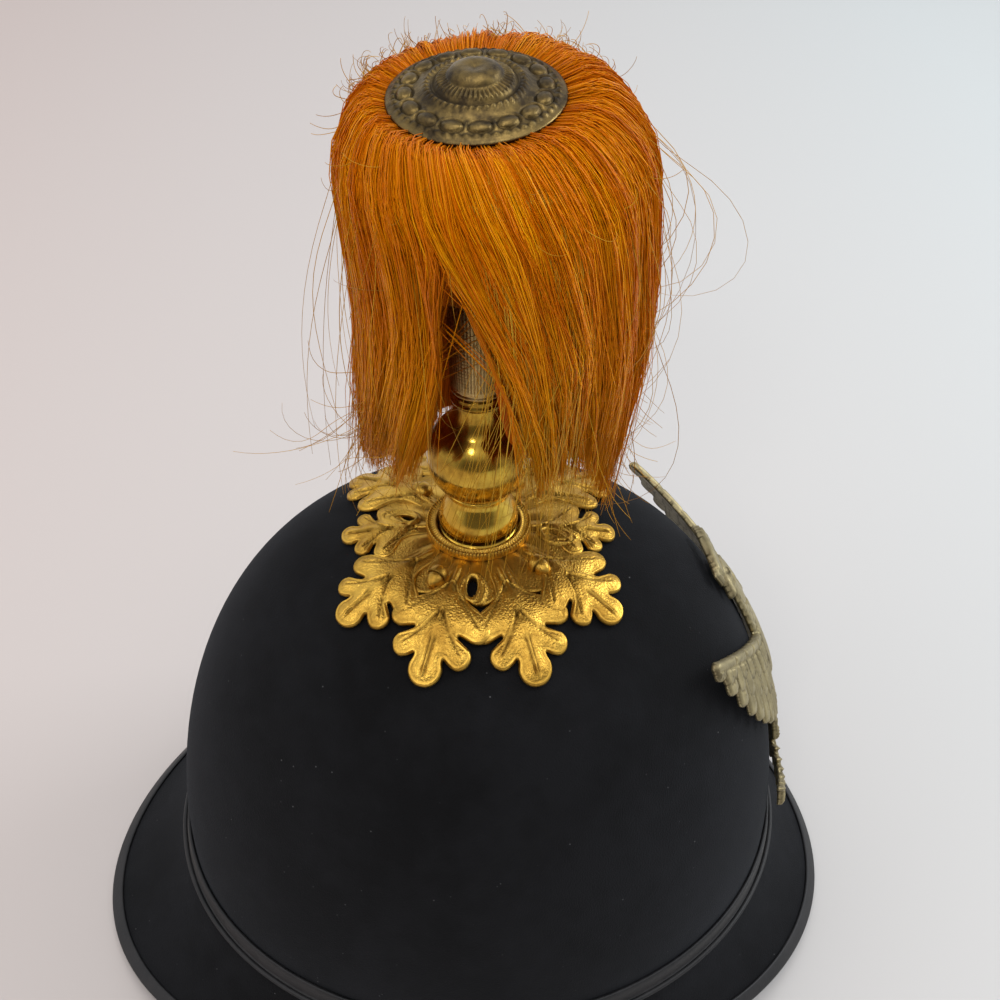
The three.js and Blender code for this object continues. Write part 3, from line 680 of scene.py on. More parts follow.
LEAF_PATTERN = leaf_pattern()
print("leaf grid:", LEAF_PATTERN[0].shape, "highest", round(float(LEAF_PATTERN[2].max()), 2), "mm")

# %% [markdown]
# The leaves lie on the crown's dome, so two formulas give the felt's height at a place in plan and the way
# out of it. Each leaf is the one pattern, turned, made longer or shorter, bent a little and lifted.

# %% Ten oak leaves
def dome_height(x, y):
    """Height of the felt at a place in plan, from the crown's superellipse."""
    reach = np.clip(np.hypot(x / CROWN["half_width"], y / CROWN["half_length"]), 0, 1)
    return mix(CROWN["foot"], CROWN["top"], (1 - reach ** CROWN["squareness"]) ** (1 / CROWN["fall"]))


def over_dome(x, y, height):
    """Point over the felt at a place in plan, moved out of the felt by a height."""
    step = 0.05
    slope_x = (dome_height(x + step, y) - dome_height(x - step, y)) / (2 * step)
    slope_y = (dome_height(x, y + step) - dome_height(x, y - step)) / (2 * step)
    out = unit(np.stack([-slope_x, -slope_y, np.ones_like(slope_x)], axis=-1))
    return np.stack([x, y, dome_height(x, y)], axis=-1) + out * height[..., None]


def base_plan(radius, across, direction):
    """Plan place of a point at a radius along a direction of the base and a distance across it."""
    angle = math.radians(BASE_TURN + direction)
    x = radius * math.sin(angle) + across * math.cos(angle)
    y = -radius * math.cos(angle) + across * math.sin(angle)
    return x, y


BEND_LENGTH = 40
LIFT = {"least": 0.25, "from": 19, "to": 30}
# Each leaf: its direction, the distance of its tip, and how far it is lifted over its neighbours.
LEAVES = [(-18, 57.2, 0.55), (18, 57.2, 0.15), (52, 54, 0.6), (90, 44, 0.1), (128, 54, 0.5)]


def leaf_faces(stations, columns):
    """Faces of the upper grid, of the back's two columns, and of the walls and root between them."""
    first = stations * columns
    row = np.arange(stations - 1)
    walls = []
    for column, low, flip in ((0, 0, False), (columns - 1, 2, True)):
        a, b = row * columns + column, (row + 1) * columns + column
        c, d = first + (row + 1) * 3 + low, first + row * 3 + low
        wall = np.stack([a, b, c, d], axis=-1)
        walls.append(wall[:, ::-1] if flip else wall)
    half = np.arange(LEAF_LINES)
    roots = []
    for start, low in ((0, 0), (LEAF_LINES, 1)):
        roots.append(np.stack([start + half + 1, start + half, np.full(LEAF_LINES, first + low)], axis=-1))
        roots.append(np.array([[start + LEAF_LINES, first + low, first + low + 1]]))
    under = grid_cells(stations, 3)[:, ::-1] + first
    return np.concatenate([grid_cells(stations, columns), under] + walls), np.concatenate(roots)


def leaf(direction, tip, lift, lean, stretch):
    """Closed leaf: the upper face's grid and a back of one cell a side, joined along margin and root."""
    along, across, height, hollow, matt = LEAF_PATTERN
    scale = tip / LONGEST
    bent = lean * np.sin((along - LEAF_ROOT) / BEND_LENGTH * math.pi)
    wide = across * scale * np.where(across > 0, 1 + stretch, 1 - stretch)
    x, y = base_plan(along * scale, wide + bent, direction)
    rise = SEAT_HEIGHT + (lift + LIFT["least"]) * smoothstep(along, LIFT["from"], LIFT["to"])
    lines = [0, LEAF_LINES, 2 * LEAF_LINES]
    face = over_dome(x, y, rise + height).reshape(-1, 3)
    back = over_dome(x[:, lines], y[:, lines], rise[:, lines]).reshape(-1, 3)
    quads, tris = leaf_faces(*along.shape)
    # The back under each leaf is all hollow: painted shade under the leaf.
    masks = {
        "hollow": np.concatenate([hollow.ravel(), np.ones(len(back))]),
        "matt": np.concatenate([matt.ravel(), np.zeros(len(back))]),
    }
    return np.concatenate([face, back]), quads, tris, masks


print(len(LEAVES), "leaves on each half of the base")

# %% [markdown]
# Between the leaves lies the ground of the stamping. It is a height over a square grid, cut to its outline.
# `cut_sheet` keeps the cells inside, slides the points next to the edge onto it, and closes it with a back
# and a wall. The plate at the front is cut the same way later.

# %% A sheet cut from a grid
LEAST_STEEPNESS = 0.25  # of the distance's slope, squared, so that no point is thrown far
FARTHEST_SLIDE = 1.3  # in cells


def cut_sheet(x, y, inside, upper, lower, skin, masks):
    """
    Closed sheet where `inside` (a distance, positive in the sheet) is positive. A point just outside moves up
    the slope of that distance until it reaches zero. Walls stand on each cell side that has no neighbour.
    """
    slope_x, slope_y = np.gradient(inside, x[1, 0] - x[0, 0], y[0, 1] - y[0, 0])
    kept = inside > 0
    near = kept.copy()
    for shift_x in (-1, 0, 1):
        for shift_y in (-1, 0, 1):
            near |= np.roll(kept, (shift_x, shift_y), (0, 1))
    rim = near & ~kept
    steep = np.maximum(slope_x**2 + slope_y**2, LEAST_STEEPNESS)
    reach = FARTHEST_SLIDE * (x[1, 0] - x[0, 0])
    move = np.where(rim, np.maximum(inside / steep, -reach), 0)
    x, y = x - move * slope_x, y - move * slope_y
    corner = [near[:-1, :-1], near[1:, :-1], near[1:, 1:], near[:-1, 1:]]
    solid = [kept[:-1, :-1], kept[1:, :-1], kept[1:, 1:], kept[:-1, 1:]]
    cell = np.logical_and.reduce(corner) & np.logical_or.reduce(solid)
    count = x.size
    number = np.arange(count).reshape(x.shape)
    i, j = np.nonzero(cell)
    top = np.stack([number[i, j], number[i + 1, j], number[i + 1, j + 1], number[i, j + 1]], axis=-1)
    faces = [top, top[:, ::-1] + count]
    framed = np.pad(cell, 1)
    sides = ((framed[1:-1, :-1], framed[1:-1, 1:]), (framed[:-1, 1:-1], framed[1:, 1:-1]))
    for axis, (before, after) in enumerate(sides):
        for one_sided, turn in ((after & ~before, axis == 0), (before & ~after, axis == 1)):
            i, j = np.nonzero(one_sided)
            a = number[i, j]
            b = number[i + 1, j] if axis == 0 else number[i, j + 1]
            wall = np.stack([b, a, a + count, b + count], axis=-1)
            faces.append(wall if turn else wall[:, ::-1])
    quads = np.concatenate(faces)
    points = np.concatenate([skin(x, y, upper).reshape(-1, 3), skin(x, y, lower).reshape(-1, 3)])
    used, fresh = np.unique(quads, return_inverse=True)
    both = {key: np.tile(values.ravel(), 2)[used] for key, values in masks.items()}
    return points[used], fresh.reshape(-1, 4), NO_FACES, both


print("cells slide at most", FARTHEST_SLIDE, "of their own width")

# %% [markdown]
# The ground has short petals under the reeded ring, a cosine of ten times the angle, and four oval holes,
# each with a raised lip and a curled leaf round it. Both depend on the hole's oval radius, which is 1 on
# its edge.

# %% Ground of the base
PETALS = {"count": 10, "height": 0.75, "power": 0.7, "reach": 33, "notch": 2.2, "inner": 12.8}
PETAL_RIM = (0.3, 0.7, 0.5)
# Each hole: its direction and its distance from the spike. The other two lie across the spike from them.
HOLES = [(-4.5, 26.9), (81, 24.5)]
HOLE = {"half_width": 1.6, "half_length": 3.9}
HOLE_LIP, HOLE_GROOVE = (0.55, 1.25, 0.18), (-0.3, 1.9, 0.3)
CURL = {"half_width": 4.6, "half_length": 6.8, "outwards": 1.2, "height": 0.9}
CURL_RIM = (0.5, 0.85, 0.12)
GROUND_EDGE, GROUND_LINES = 37, 138  # half the square grid, and its lines, about 0.54 mm apart


def ground_holes():
    """Direction and distance of all four holes."""
    return [(direction + half_turn, radius) for direction, radius in HOLES for half_turn in (0, 180)]


def hole_frame(x, y, direction, radius):
    """Distances along and across the base's radius, from the middle of a hole."""
    middle_x, middle_y = base_plan(radius, 0, direction)
    angle = math.radians(BASE_TURN + direction)
    along = (x - middle_x) * math.sin(angle) - (y - middle_y) * math.cos(angle)
    across = (x - middle_x) * math.cos(angle) + (y - middle_y) * math.sin(angle)
    return along, across


def base_ground():
    """Height over a square grid: petals, then the curled leaf and the lip round each hole."""
    line = np.linspace(-GROUND_EDGE, GROUND_EDGE, GROUND_LINES)
    x, y = np.meshgrid(line, line, indexing="ij")
    radius = np.hypot(x, y)
    direction = np.arctan2(x, -y) - math.radians(BASE_TURN)
    wave = np.cos(PETALS["count"] * direction)
    margin = PETALS["reach"] - PETALS["notch"] + PETALS["notch"] * wave
    inside = np.minimum(margin - radius, radius - PETALS["inner"])
    petal = np.abs(wave) ** PETALS["power"]
    fade = smoothstep(radius, 27, 18)
    height = SHEET + PETALS["height"] * petal * fade + ridge(margin - radius, *PETAL_RIM)
    # Hollow between the petals and towards the outer ground: partly tarnish and partly painted shade.
    hollow = 0.75 * (1 - petal) * fade + 0.35 * smoothstep(radius, 24, 31)
    matt = smoothstep(radius, 18, 26)
    for hole_direction, hole_radius in ground_holes():
        along, across = hole_frame(x, y, hole_direction, hole_radius)
        oval = np.hypot(across / HOLE["half_width"], along / HOLE["half_length"])
        inside = np.minimum(inside, (oval - 1) * HOLE["half_width"])
        curl = np.hypot(across / CURL["half_width"], (along - CURL["outwards"]) / CURL["half_length"])
        curled = SHEET + CURL["height"] + ridge(curl, *CURL_RIM)
        height = mix(height, curled, smoothstep(curl, 1.02, 0.9))
        height += ridge(oval, *HOLE_LIP) + ridge(oval, *HOLE_GROOVE) * (curl < 0.8)
        # The curl's edge and the hole's lip are hollow: partly tarnish and partly painted shade.
        hollow = np.maximum(hollow, ridge(curl, 0.8, 1.03, 0.06) + ridge(oval, 0.5, 1.0, 0.12))
        matt = np.where(oval < 1.6, 0.1, matt)
    lower = np.full_like(height, SEAT_HEIGHT)
    return cut_sheet(x, y, inside, SEAT_HEIGHT + height, lower, over_dome, {"hollow": hollow, "matt": matt})


print("the ground has", len(ground_holes()), "holes")

# %% [markdown]
# An acorn is two turned bodies, a nut and its cup, whose axis points outwards along the felt. Ground,
# leaves and acorns make one piece.

# %% Acorns and the whole base
# Each acorn: its direction and its distance from the spike. The other two lie across the spike from them.
ACORNS = [(46, 26.5), (-30, 26.5)]
ACORN_SEAT = SEAT_HEIGHT + 2.1
NUT = {"radius": 2.5, "half_length": 3.6, "tip": 0.5}
# The cup's profile, as (radius, distance along the axis) from its stalk to the inside of its rim.
ACORN_CUP = [
    [0, -4.4], [1.7, -4.1], [2.7, -3.0], [3.1, -1.6], [3.15, -0.7], [2.9, -0.4], [2.4, -0.6], [0, -0.8],
]
ACORN_STEPS = 20


def turned_about(centre, axis, profile, steps):
    """Closed body turned about any axis from a profile of (radius, distance along it), with welded ends."""
    axis = unit(np.asarray(axis, float))
    side = unit(np.cross(axis, [0, 0, 1.0]))
    up = np.cross(side, axis)
    angle = round_angles(steps)[..., None]
    radial = np.cos(angle) * side + np.sin(angle) * up
    points = centre + radial * profile[:, 0][None, :, None] + axis * profile[:, 1][None, :, None]
    return points.reshape(-1, 3), grid_cells(steps, len(profile), True, False)


def acorn_seat(direction, radius):
    """Point of an acorn's axis over the felt."""
    x, y = base_plan(radius, 0, direction)
    return over_dome(np.array(x), np.array(y), np.array(ACORN_SEAT))


def acorn(direction, radius):
    """Nut and cup turned about an axis that points outwards over the leaves, sunk to half its depth."""
    seat, ahead = acorn_seat(direction, radius), acorn_seat(direction, radius + 4)
    turn = np.linspace(0, math.pi, 15)
    nut = np.stack([NUT["radius"] * np.sin(turn), -NUT["half_length"] * np.cos(turn)], axis=-1)
    nut[-1] += [0, NUT["tip"]]
    parts = []
    for profile in (nut, smooth_line(ACORN_CUP, 22)):
        profile[[0, -1], 0] = 0
        points, quads = turned_about(seat, ahead - seat, profile, ACORN_STEPS)
        # A little hollow all over and most where the cup meets the nut: partly tarnish and partly painted
        # shade.
        hollow = np.tile(0.15 + 0.6 * bell(profile[:, 1], -0.5, 0.5), ACORN_STEPS)
        parts.append((points, quads, NO_FACES, {"hollow": hollow, "matt": np.full(len(points), 0.2)}))
    return parts


LEAN, STRETCH = 0.5, 0.05  # the most that a leaf bends, in millimetres, and widens on one side


def leaf_base():
    """The ground, and two like halves half a turn apart, each leaf with a small bend of its own."""
    parts = [base_ground()]
    rng = np.random.default_rng(7)
    for half_turn in (0, 180):
        for direction, tip, lift in LEAVES:
            lean, stretch = rng.uniform(-LEAN, LEAN), rng.uniform(-STRETCH, STRETCH)
            parts.append(leaf(direction + half_turn, tip, lift, lean, stretch))
        for direction, radius in ACORNS:
            parts.extend(acorn(direction + half_turn, radius))
    return parts


make_piece("oak_leaf_base", leaf_base(), GILT_FINISH, ["leaf_base"], weld=0.004)

# %% [markdown]
# The spike is turned work: a reeded ring, a polished cup, a collared ball that is drawn in to a neck, and a
# tube ribbed with lines of beads that holds the hair. Each is a profile carried round the axis. The reeds
# and the beads are waves added to the radius or the height, so they are real shapes and catch real light.

# %% Reeded ring
RING = {"inner": 13.4, "outer": 16.8, "height": 2.9, "reeds": 92}
RIM_POINTS, FACE_POINTS = 7, 12
REEDS_START = 3  # the first point up the rim that the reeds reach
REED_DEPTH, REED_RISE = 0.3, 0.7
STEPS_A_REED = 6


def ring_profile():
    """Rim from the foot up, hollow face inwards and lip down again, as (radius, height) points."""
    inner, outer = RING["inner"], RING["outer"]
    foot, top = RING_FOOT, RING_FOOT + RING["height"]
    rim = [[outer - 0.3, foot], [outer, foot + 0.9], [outer, top - 0.6], [outer - 0.3, top]]
    face = [
        [outer - 0.55, top - 0.15], [outer - 0.9, top - 0.55],
        [mix(outer, inner, 0.5), top - 0.95], [inner + 0.75, top - 0.45],
    ]
    lip = [[inner + 0.4, top - 0.1], [inner + 0.1, top - 0.35], [inner, top - 0.8], [inner, foot]]
    return np.concatenate([smooth_line(rim, RIM_POINTS), smooth_line(face, FACE_POINTS), lip])


def reeded_ring():
    """Ring whose rim and face carry reeds: half cosines of the angle that fade at the foot and lip."""
    profile = ring_profile()
    reeded = np.zeros(len(profile))
    reeds_end = RIM_POINTS + FACE_POINTS
    fade = np.linspace(0.35, math.pi - 0.25, reeds_end - REEDS_START)
    reeded[REEDS_START:reeds_end] = np.sin(fade) ** 0.6
    steps = RING["reeds"] * STEPS_A_REED
    reed = np.abs(np.cos(RING["reeds"] / 2 * round_angles(steps)))
    out = REED_DEPTH * (reed - 1) * reeded * (profile[:, 0] > RING["outer"] - 0.4)
    up = REED_RISE * (reed - 0.75) * reeded
    # Between the reeds and inside the lip is hollow: partly tarnish and partly painted shade.
    hollow = 0.95 * (1 - reed) ** 1.5 * reeded + 0.5 * (profile[:, 0] < RING["inner"] + 0.2)
    return turned(profile, steps, {"hollow": np.clip(hollow, 0, 1), "matt": 0.0}, out, up)


make_piece("reeded_ring", [reeded_ring()], GILT_FINISH, ["milled_ring"])

# %% [markdown]
# The cup and the ball are plain turned work: each is a profile alone, with a mask that darkens its grooves,
# partly as tarnish and partly as painted shade. Both profiles come back down the bore that the bolt passes
# through.

# %% Cup and ball
CUP = {"lip": 12.9, "shoulder": 9.4, "top": 203.1}
BALL = {"radius": 15.9, "centre": 216.6, "collar": 10.6, "collar_foot": 203.6, "top": 241}
BORE = 2.8
CUP_STEPS, BALL_STEPS = 104, 112


def cup_profile():
    """Polished lip, full belly and shoulder, from foot to top, then down the bore."""
    foot, lip, shoulder, top = RING_FOOT, CUP["lip"], CUP["shoulder"], CUP["top"]
    wall = smooth_line([
        [lip - 0.7, foot], [lip, foot + 0.8], [lip - 0.05, foot + 1.7], [lip - 0.75, foot + 2.5],
        [lip - 0.45, foot + 3.4], [lip - 0.2, foot + 5.0], [lip - 0.75, foot + 8.2],
        [lip - 2.0, foot + 11.6], [shoulder + 0.3, foot + 14.6], [shoulder, top],
    ], 54)
    return np.concatenate([wall, [[BORE, top], [BORE, foot]]])


def ball_profile():
    """Collar with two grooves, ball, and concave neck, then down the bore."""
    radius, centre, collar, foot = BALL["radius"], BALL["centre"], BALL["collar"], BALL["collar_foot"]
    arc = np.radians(np.linspace(-48, 46, 34))
    ball = np.stack([radius * np.cos(arc), centre + radius * np.sin(arc)], axis=-1)
    ring = smooth_line([
        [collar - 0.8, foot], [collar, foot + 0.5], [collar - 0.25, foot + 0.95], [collar + 0.1, foot + 1.4],
        [collar - 0.35, foot + 1.9], [collar - 0.5, foot + 2.3],
    ], 18)
    neck = smooth_line([
        [11.2, centre + 11.2], [10.0, centre + 12.5], [8.9, centre + 14.2], [8.0, centre + 16.3],
        [7.4, centre + 18.8], [7.25, centre + 20.6], [7.9, centre + 21.2], [8.3, centre + 22.0],
        [7.9, centre + 22.9], [7.7, BALL["top"]],
    ], 40)[3:]
    return np.concatenate([ring, ball, neck, [[BORE, BALL["top"]], [BORE, foot]]])


def plain_masks(profile, *grooves):
    """Hollow mask of a turned profile: bells at the heights of its grooves."""
    hollow = sum(bell(profile[:, 1], height, width) for height, width in grooves)
    return {"hollow": np.clip(hollow, 0, 1), "matt": 0.0}


cup_line, ball_line = cup_profile(), ball_profile()
cup_masks = plain_masks(cup_line, (RING_FOOT + 2.5, 0.25), (RING_FOOT, 0.6))
ball_masks = plain_masks(ball_line, (BALL["collar_foot"] + 2.2, 0.3), (BALL["top"] - 3.2, 0.3))
cup_body, ball_body = turned(cup_line, CUP_STEPS, cup_masks), turned(ball_line, BALL_STEPS, ball_masks)
make_piece("polished_cup", [cup_body], POLISHED_FINISH, ["base_cup"])
make_piece("polished_ball", [ball_body], POLISHED_FINISH, ["ball_stem"])

# %% [markdown]
# The tube that the plume stands in widens upwards. Its 52 ribs are cut across at even heights, so that each
# is a line of beads, and two plain rolls finish the foot.

# %% Ribbed socket
SOCKET = {"foot": 241.3, "top": 292.3, "foot_radius": 7.9, "top_radius": 10.6, "ribs": 52, "bead": 1.15}
SOCKET_ROWS = 132
STEPS_A_RIB = 3
RIB_DEPTH = 0.42
SOCKET_ROLLS = ((0.55, 1.0, 0.55), (0.3, 2.5, 0.4))


def ribbed_socket():
    """Tube with ribs, half cosines of the angle, and beads on them, a cosine of the height."""
    foot, top = SOCKET["foot"], SOCKET["top"]
    height = np.linspace(foot, top, SOCKET_ROWS)
    part = (height - foot) / (top - foot)
    radius = mix(SOCKET["foot_radius"], SOCKET["top_radius"], part**1.05) - 0.35
    rolls = sum(ridge(height - foot, *roll) for roll in SOCKET_ROLLS)
    outer = np.stack([radius + rolls, height], axis=-1)
    profile = np.concatenate([outer, [[BORE, top], [BORE, foot]]])
    strength = np.concatenate([smoothstep(height, foot + 2.6, foot + 3.4), [0, 0]])
    beads = 0.75 + 0.25 * np.cos(2 * math.pi * profile[:, 1] / SOCKET["bead"])
    steps = SOCKET["ribs"] * STEPS_A_RIB
    rib = np.abs(np.cos(SOCKET["ribs"] / 2 * round_angles(steps)))
    # Between the ribs is hollow: partly tarnish and partly painted shade.
    masks = {"hollow": (1 - rib) * strength, "matt": 0.0}
    return turned(profile, steps, masks, RIB_DEPTH * rib * beads * strength)


make_piece("ribbed_socket", [ribbed_socket()], RIBBED_FINISH, ["plume_socket"])

# %% [markdown]
# The rosette that holds the hair down is stamped from thin brass and has gone brown. Going in from its rim
# it has a smooth flange, a ring of beads, sixteen scallops with darts between them, a smooth hollow, a
# rope, a step of fine reeds and a domed button with a dimple. All of it is one height over a polar grid.

# %% Relief of the rosette
ROSETTE = {"radius": 22.7, "foot": 329.1, "lean": 6.5, "nod": 2.8}
REPEATS = {"scallops": 16, "beads": 54, "rope": 44, "reeds": 46}
ROPE_SLANT = 14
# The stamped profile: part of the radius, and height over the underside in millimetres.
STAMPED = smooth_line([
    (0, 8.3), (0.07, 8.75), (0.15, 8.95), (0.22, 8.6), (0.275, 7.9), (0.3, 7.0), (0.34, 6.35), (0.41, 5.8),
    (0.445, 4.9), (0.475, 4.35), (0.5, 4.75), (0.535, 4.9), (0.57, 4.4), (0.62, 3.6), (0.68, 3.1),
    (0.75, 2.95), (0.82, 2.8), (0.87, 2.4), (0.91, 2.1), (0.95, 1.75), (0.985, 1.45), (1.0, 1.15),
], 240)
# Where each ring lies, as a part of the radius.
BEAD_RING, SCALLOP_RING, ROPE_RING, REED_RING = 0.905, 0.79, 0.54, (0.31, 0.44)
SCALLOP = {"half_width": 2.75, "outer": 1.7, "inner": 2.3, "height": 0.85}
# Rings of the hollow mask, darkened partly as tarnish and partly as painted shade.
HOLLOW_RINGS = ((0.65, 0.465, 0.018), (0.6, 0.295, 0.012), (0.4, 0.9, 0.02))


def repeated(name, angle, slant=0.0):
    """Half cosine that repeats evenly round the disc, from 0 between two repeats to 1 on each."""
    return np.abs(np.cos(REPEATS[name] / 2 * angle + slant))


def scalloped(part, angle):
    """Height and hollow mask of the scallops, which are half ovals, and of the darts between them."""
    pitch = 2 * math.pi / REPEATS["scallops"]
    from_middle = (angle + pitch / 2) % pitch - pitch / 2
    radius = part * ROSETTE["radius"]
    down = radius - SCALLOP_RING * ROSETTE["radius"]
    length = np.where(down > 0, SCALLOP["outer"], SCALLOP["inner"])
    oval = np.hypot(from_middle * radius / SCALLOP["half_width"], down / length)
    height = SCALLOP["height"] * np.sqrt(np.clip(1 - oval**2, 0, 1)) + ridge(oval, -0.45, 1.1, 0.1)
    hollow = ridge(oval, 0.9, 1.1, 0.11) * (part > 0.66) + ridge(oval, 0.45, 0.55, 0.25) * (down < 0)
    beside = np.abs(np.abs(from_middle) - pitch / 2) * radius
    dart = smoothstep(1.1 - beside - 0.35 * np.abs(down + 0.4), 0, 0.9)
    return height + 0.55 * dart * (part > 0.68) * (part < 0.88), hollow


def rosette_relief(part, angle):
    """Height and hollow mask over the polar grid: the stamped profile plus each ring's own repeat."""
    height, hollow = scalloped(part, angle)
    height = height + np.interp(part, STAMPED[:, 0], STAMPED[:, 1])
    hollow = hollow + sum(ridge(part, *ring) for ring in HOLLOW_RINGS)
    beads = repeated("beads", angle)
    height += ridge(part, 0.55, BEAD_RING, 0.028) * beads
    hollow += ridge(part, 0.6, BEAD_RING, 0.03) * (1 - beads)
    rope = repeated("rope", angle, ROPE_SLANT * (part - ROPE_RING))
    height += ridge(part, 0.5, ROPE_RING, 0.028) * (rope - 0.4)
    hollow += ridge(part, 0.75, ROPE_RING, 0.035) * (1 - rope)
    reeds = repeated("reeds", angle)
    inner, outer = REED_RING
    reeded = smoothstep(part, inner, inner + 0.025) * smoothstep(part, outer, outer - 0.025)
    height += 0.45 * reeded * (reeds - 0.5)
    hollow += 0.7 * reeded * (1 - reeds)
    return height, np.clip(hollow, 0, 1)


print("rosette profile from", STAMPED[0], "to", STAMPED[-1])

# %% [markdown]
# The disc's rows are close together where the relief is fine. It comes back under itself to the middle, and
# is tilted a few degrees, because the hair has settled unevenly.

# %% Rosette
ROSETTE_STEPS = 336
BUTTON_ROWS, FINE_ROWS, BUTTON = 16, 72, 0.3
# The underside from the rim to the middle: part of the radius, and height.
UNDERSIDE = np.array([(1.0, 0.75), (0.985, 0.45), (0.9, 0.15), (0.45, 0), (0, 0)])


def tilted(points):
    """Turned by the lean about the front-to-back axis, then by the nod about the side-to-side axis."""
    lean, nod = math.radians(-ROSETTE["lean"]), math.radians(-ROSETTE["nod"])
    turn = np.array(Matrix.Rotation(nod, 3, "X") @ Matrix.Rotation(lean, 3, "Y"))
    return points @ turn.T + [0, 0, ROSETTE["foot"]]


def rosette_disc():
    """Upper face from the middle to the rim, and a plain underside from the rim back to the middle."""
    angle = round_angles(ROSETTE_STEPS)
    part = np.concatenate([np.linspace(0, BUTTON, BUTTON_ROWS)[:-1], np.linspace(BUTTON, 1, FINE_ROWS)])
    height, hollow = rosette_relief(part[None, :], angle)
    under = (ROSETTE_STEPS, len(UNDERSIDE))
    height = np.concatenate([height, np.broadcast_to(UNDERSIDE[:, 1], under)], axis=1)
    # The underside is all hollow: painted shade under the disc.
    hollow = np.concatenate([hollow, np.ones(under)], axis=1).ravel()
    radius = np.concatenate([part, UNDERSIDE[:, 0]]) * ROSETTE["radius"]
    points = tilted(spun(radius, angle, height).reshape(-1, 3))
    cells = grid_cells(ROSETTE_STEPS, len(radius), True, False)
    return points, cells, NO_FACES, {"hollow": hollow, "matt": 1 - hollow}


make_piece(
    "stamped_rosette", [rosette_disc()], OLD_FINISH, ["plume_rosette"], weld=0.003,
)

# %% [markdown]
# The plume is horsehair, laid out like the spokes of a wheel under the rosette and bent down all round. The
# solid is the mass of the hair, in sixteen locks, parted on the wearer's right over the spike. It is drawn
# first, as an underlayer whose darker colour is painted shade deep in the hair, and thousands of single
# hairs are laid over it. Both end where one formula says: ragged, lock by lock, and higher over the spike.

# %% Where the hair ends
PLUME = {"top": 328.4, "locks": 16, "foot": 206, "ragged": 4, "roof": 292.6}
SHORT_SIDE = {"angle": math.radians(-100), "rise": 34, "power": 2.2}
PART = {"angle": math.radians(-113), "rear": 5.5, "front": 17, "rise": 60, "top": 296}


def wrapped(angle):
    """Angle brought between minus and plus half a turn."""
    return np.arctan2(np.sin(angle), np.cos(angle))


def lock_phase(angle):
    """Number of the lock that an angle falls in, and the phase across that lock, from -1 to 1."""
    turn = (angle % (2 * math.pi)) / (2 * math.pi) * PLUME["locks"]
    lock = np.floor(turn + 0.5)
    return lock, 2 * (turn - lock)


def lock_foot(angle):
    """Height where the hair ends: ragged, higher on the short side, and highest at the parting."""
    lock, phase = lock_phase(angle)
    away = np.degrees(wrapped(angle - PART["angle"]))
    parted = PART["rise"] * bell(away, 0, np.where(away > 0, PART["front"], PART["rear"]))
    short = SHORT_SIDE["rise"] * ((1 + np.cos(angle - SHORT_SIDE["angle"])) / 2) ** SHORT_SIDE["power"]
    ragged = PLUME["ragged"] * (np.sin(lock * 2.4) + phase**2)
    return np.minimum(PLUME["foot"] + short + ragged + parted, PART["top"])


feet = lock_foot(np.radians(np.arange(360)))
print("the hair ends between", round(feet.min()), "and", round(feet.max()), "mm")

# %% [markdown]
# A second formula says where a hair is at each part of its way, from the rosette over the head to its tip.
# It reads one short table over the head and one on the way down.

# %% The way of a hair
SHOULDER = 300
# Over the head: height, reach from the hair's own middle, and how far that middle lies forward of the spike.
HEAD = smooth_line([
    (328.0, 15, 0), (328.7, 22, 0), (331, 27, 1), (330.3, 31, 1.9), (328, 34, 2.5), (323.6, 37.8, 3.2),
    (318, 40.5, 4), (313, 41.7, 4.6), (308, 42.4, 5.2), (SHOULDER, 42.7, 5.9),
], 121)
# Down the hanging locks: part of the way down, reach and forward.
HANG = smooth_line([
    (0, 42.7, 5.9), (0.2, 42.2, 7.3), (0.4, 42, 7.6), (0.58, 41, 6.2), (0.77, 39.6, 4.3), (0.94, 38.4, 3.3),
    (1, 38, 3),
], 61)
HEAD_SLOPE = unit(np.gradient(HEAD[:, :2], axis=0))
LOCK_GROOVE = {"head": 0.05, "hanging": 0.02}  # how far the reach narrows between locks, as a share of it
TUCK = {"depth": 2, "middle": -10, "width": 13, "over": 18}  # the rear lock turns in beside the parting
LEAN_X, LEAN_Y = (math.tan(math.radians(ROSETTE[tilt])) for tilt in ("lean", "nod"))


def hair_table(over, down, hanging, column):
    """Value of one column: read from the head's table, or where the hair hangs, from the lower one."""
    head = np.interp(over, np.linspace(0, 1, len(HEAD)), HEAD[:, column])
    return np.where(hanging, np.interp(down, HANG[:, 0], HANG[:, column]), head)


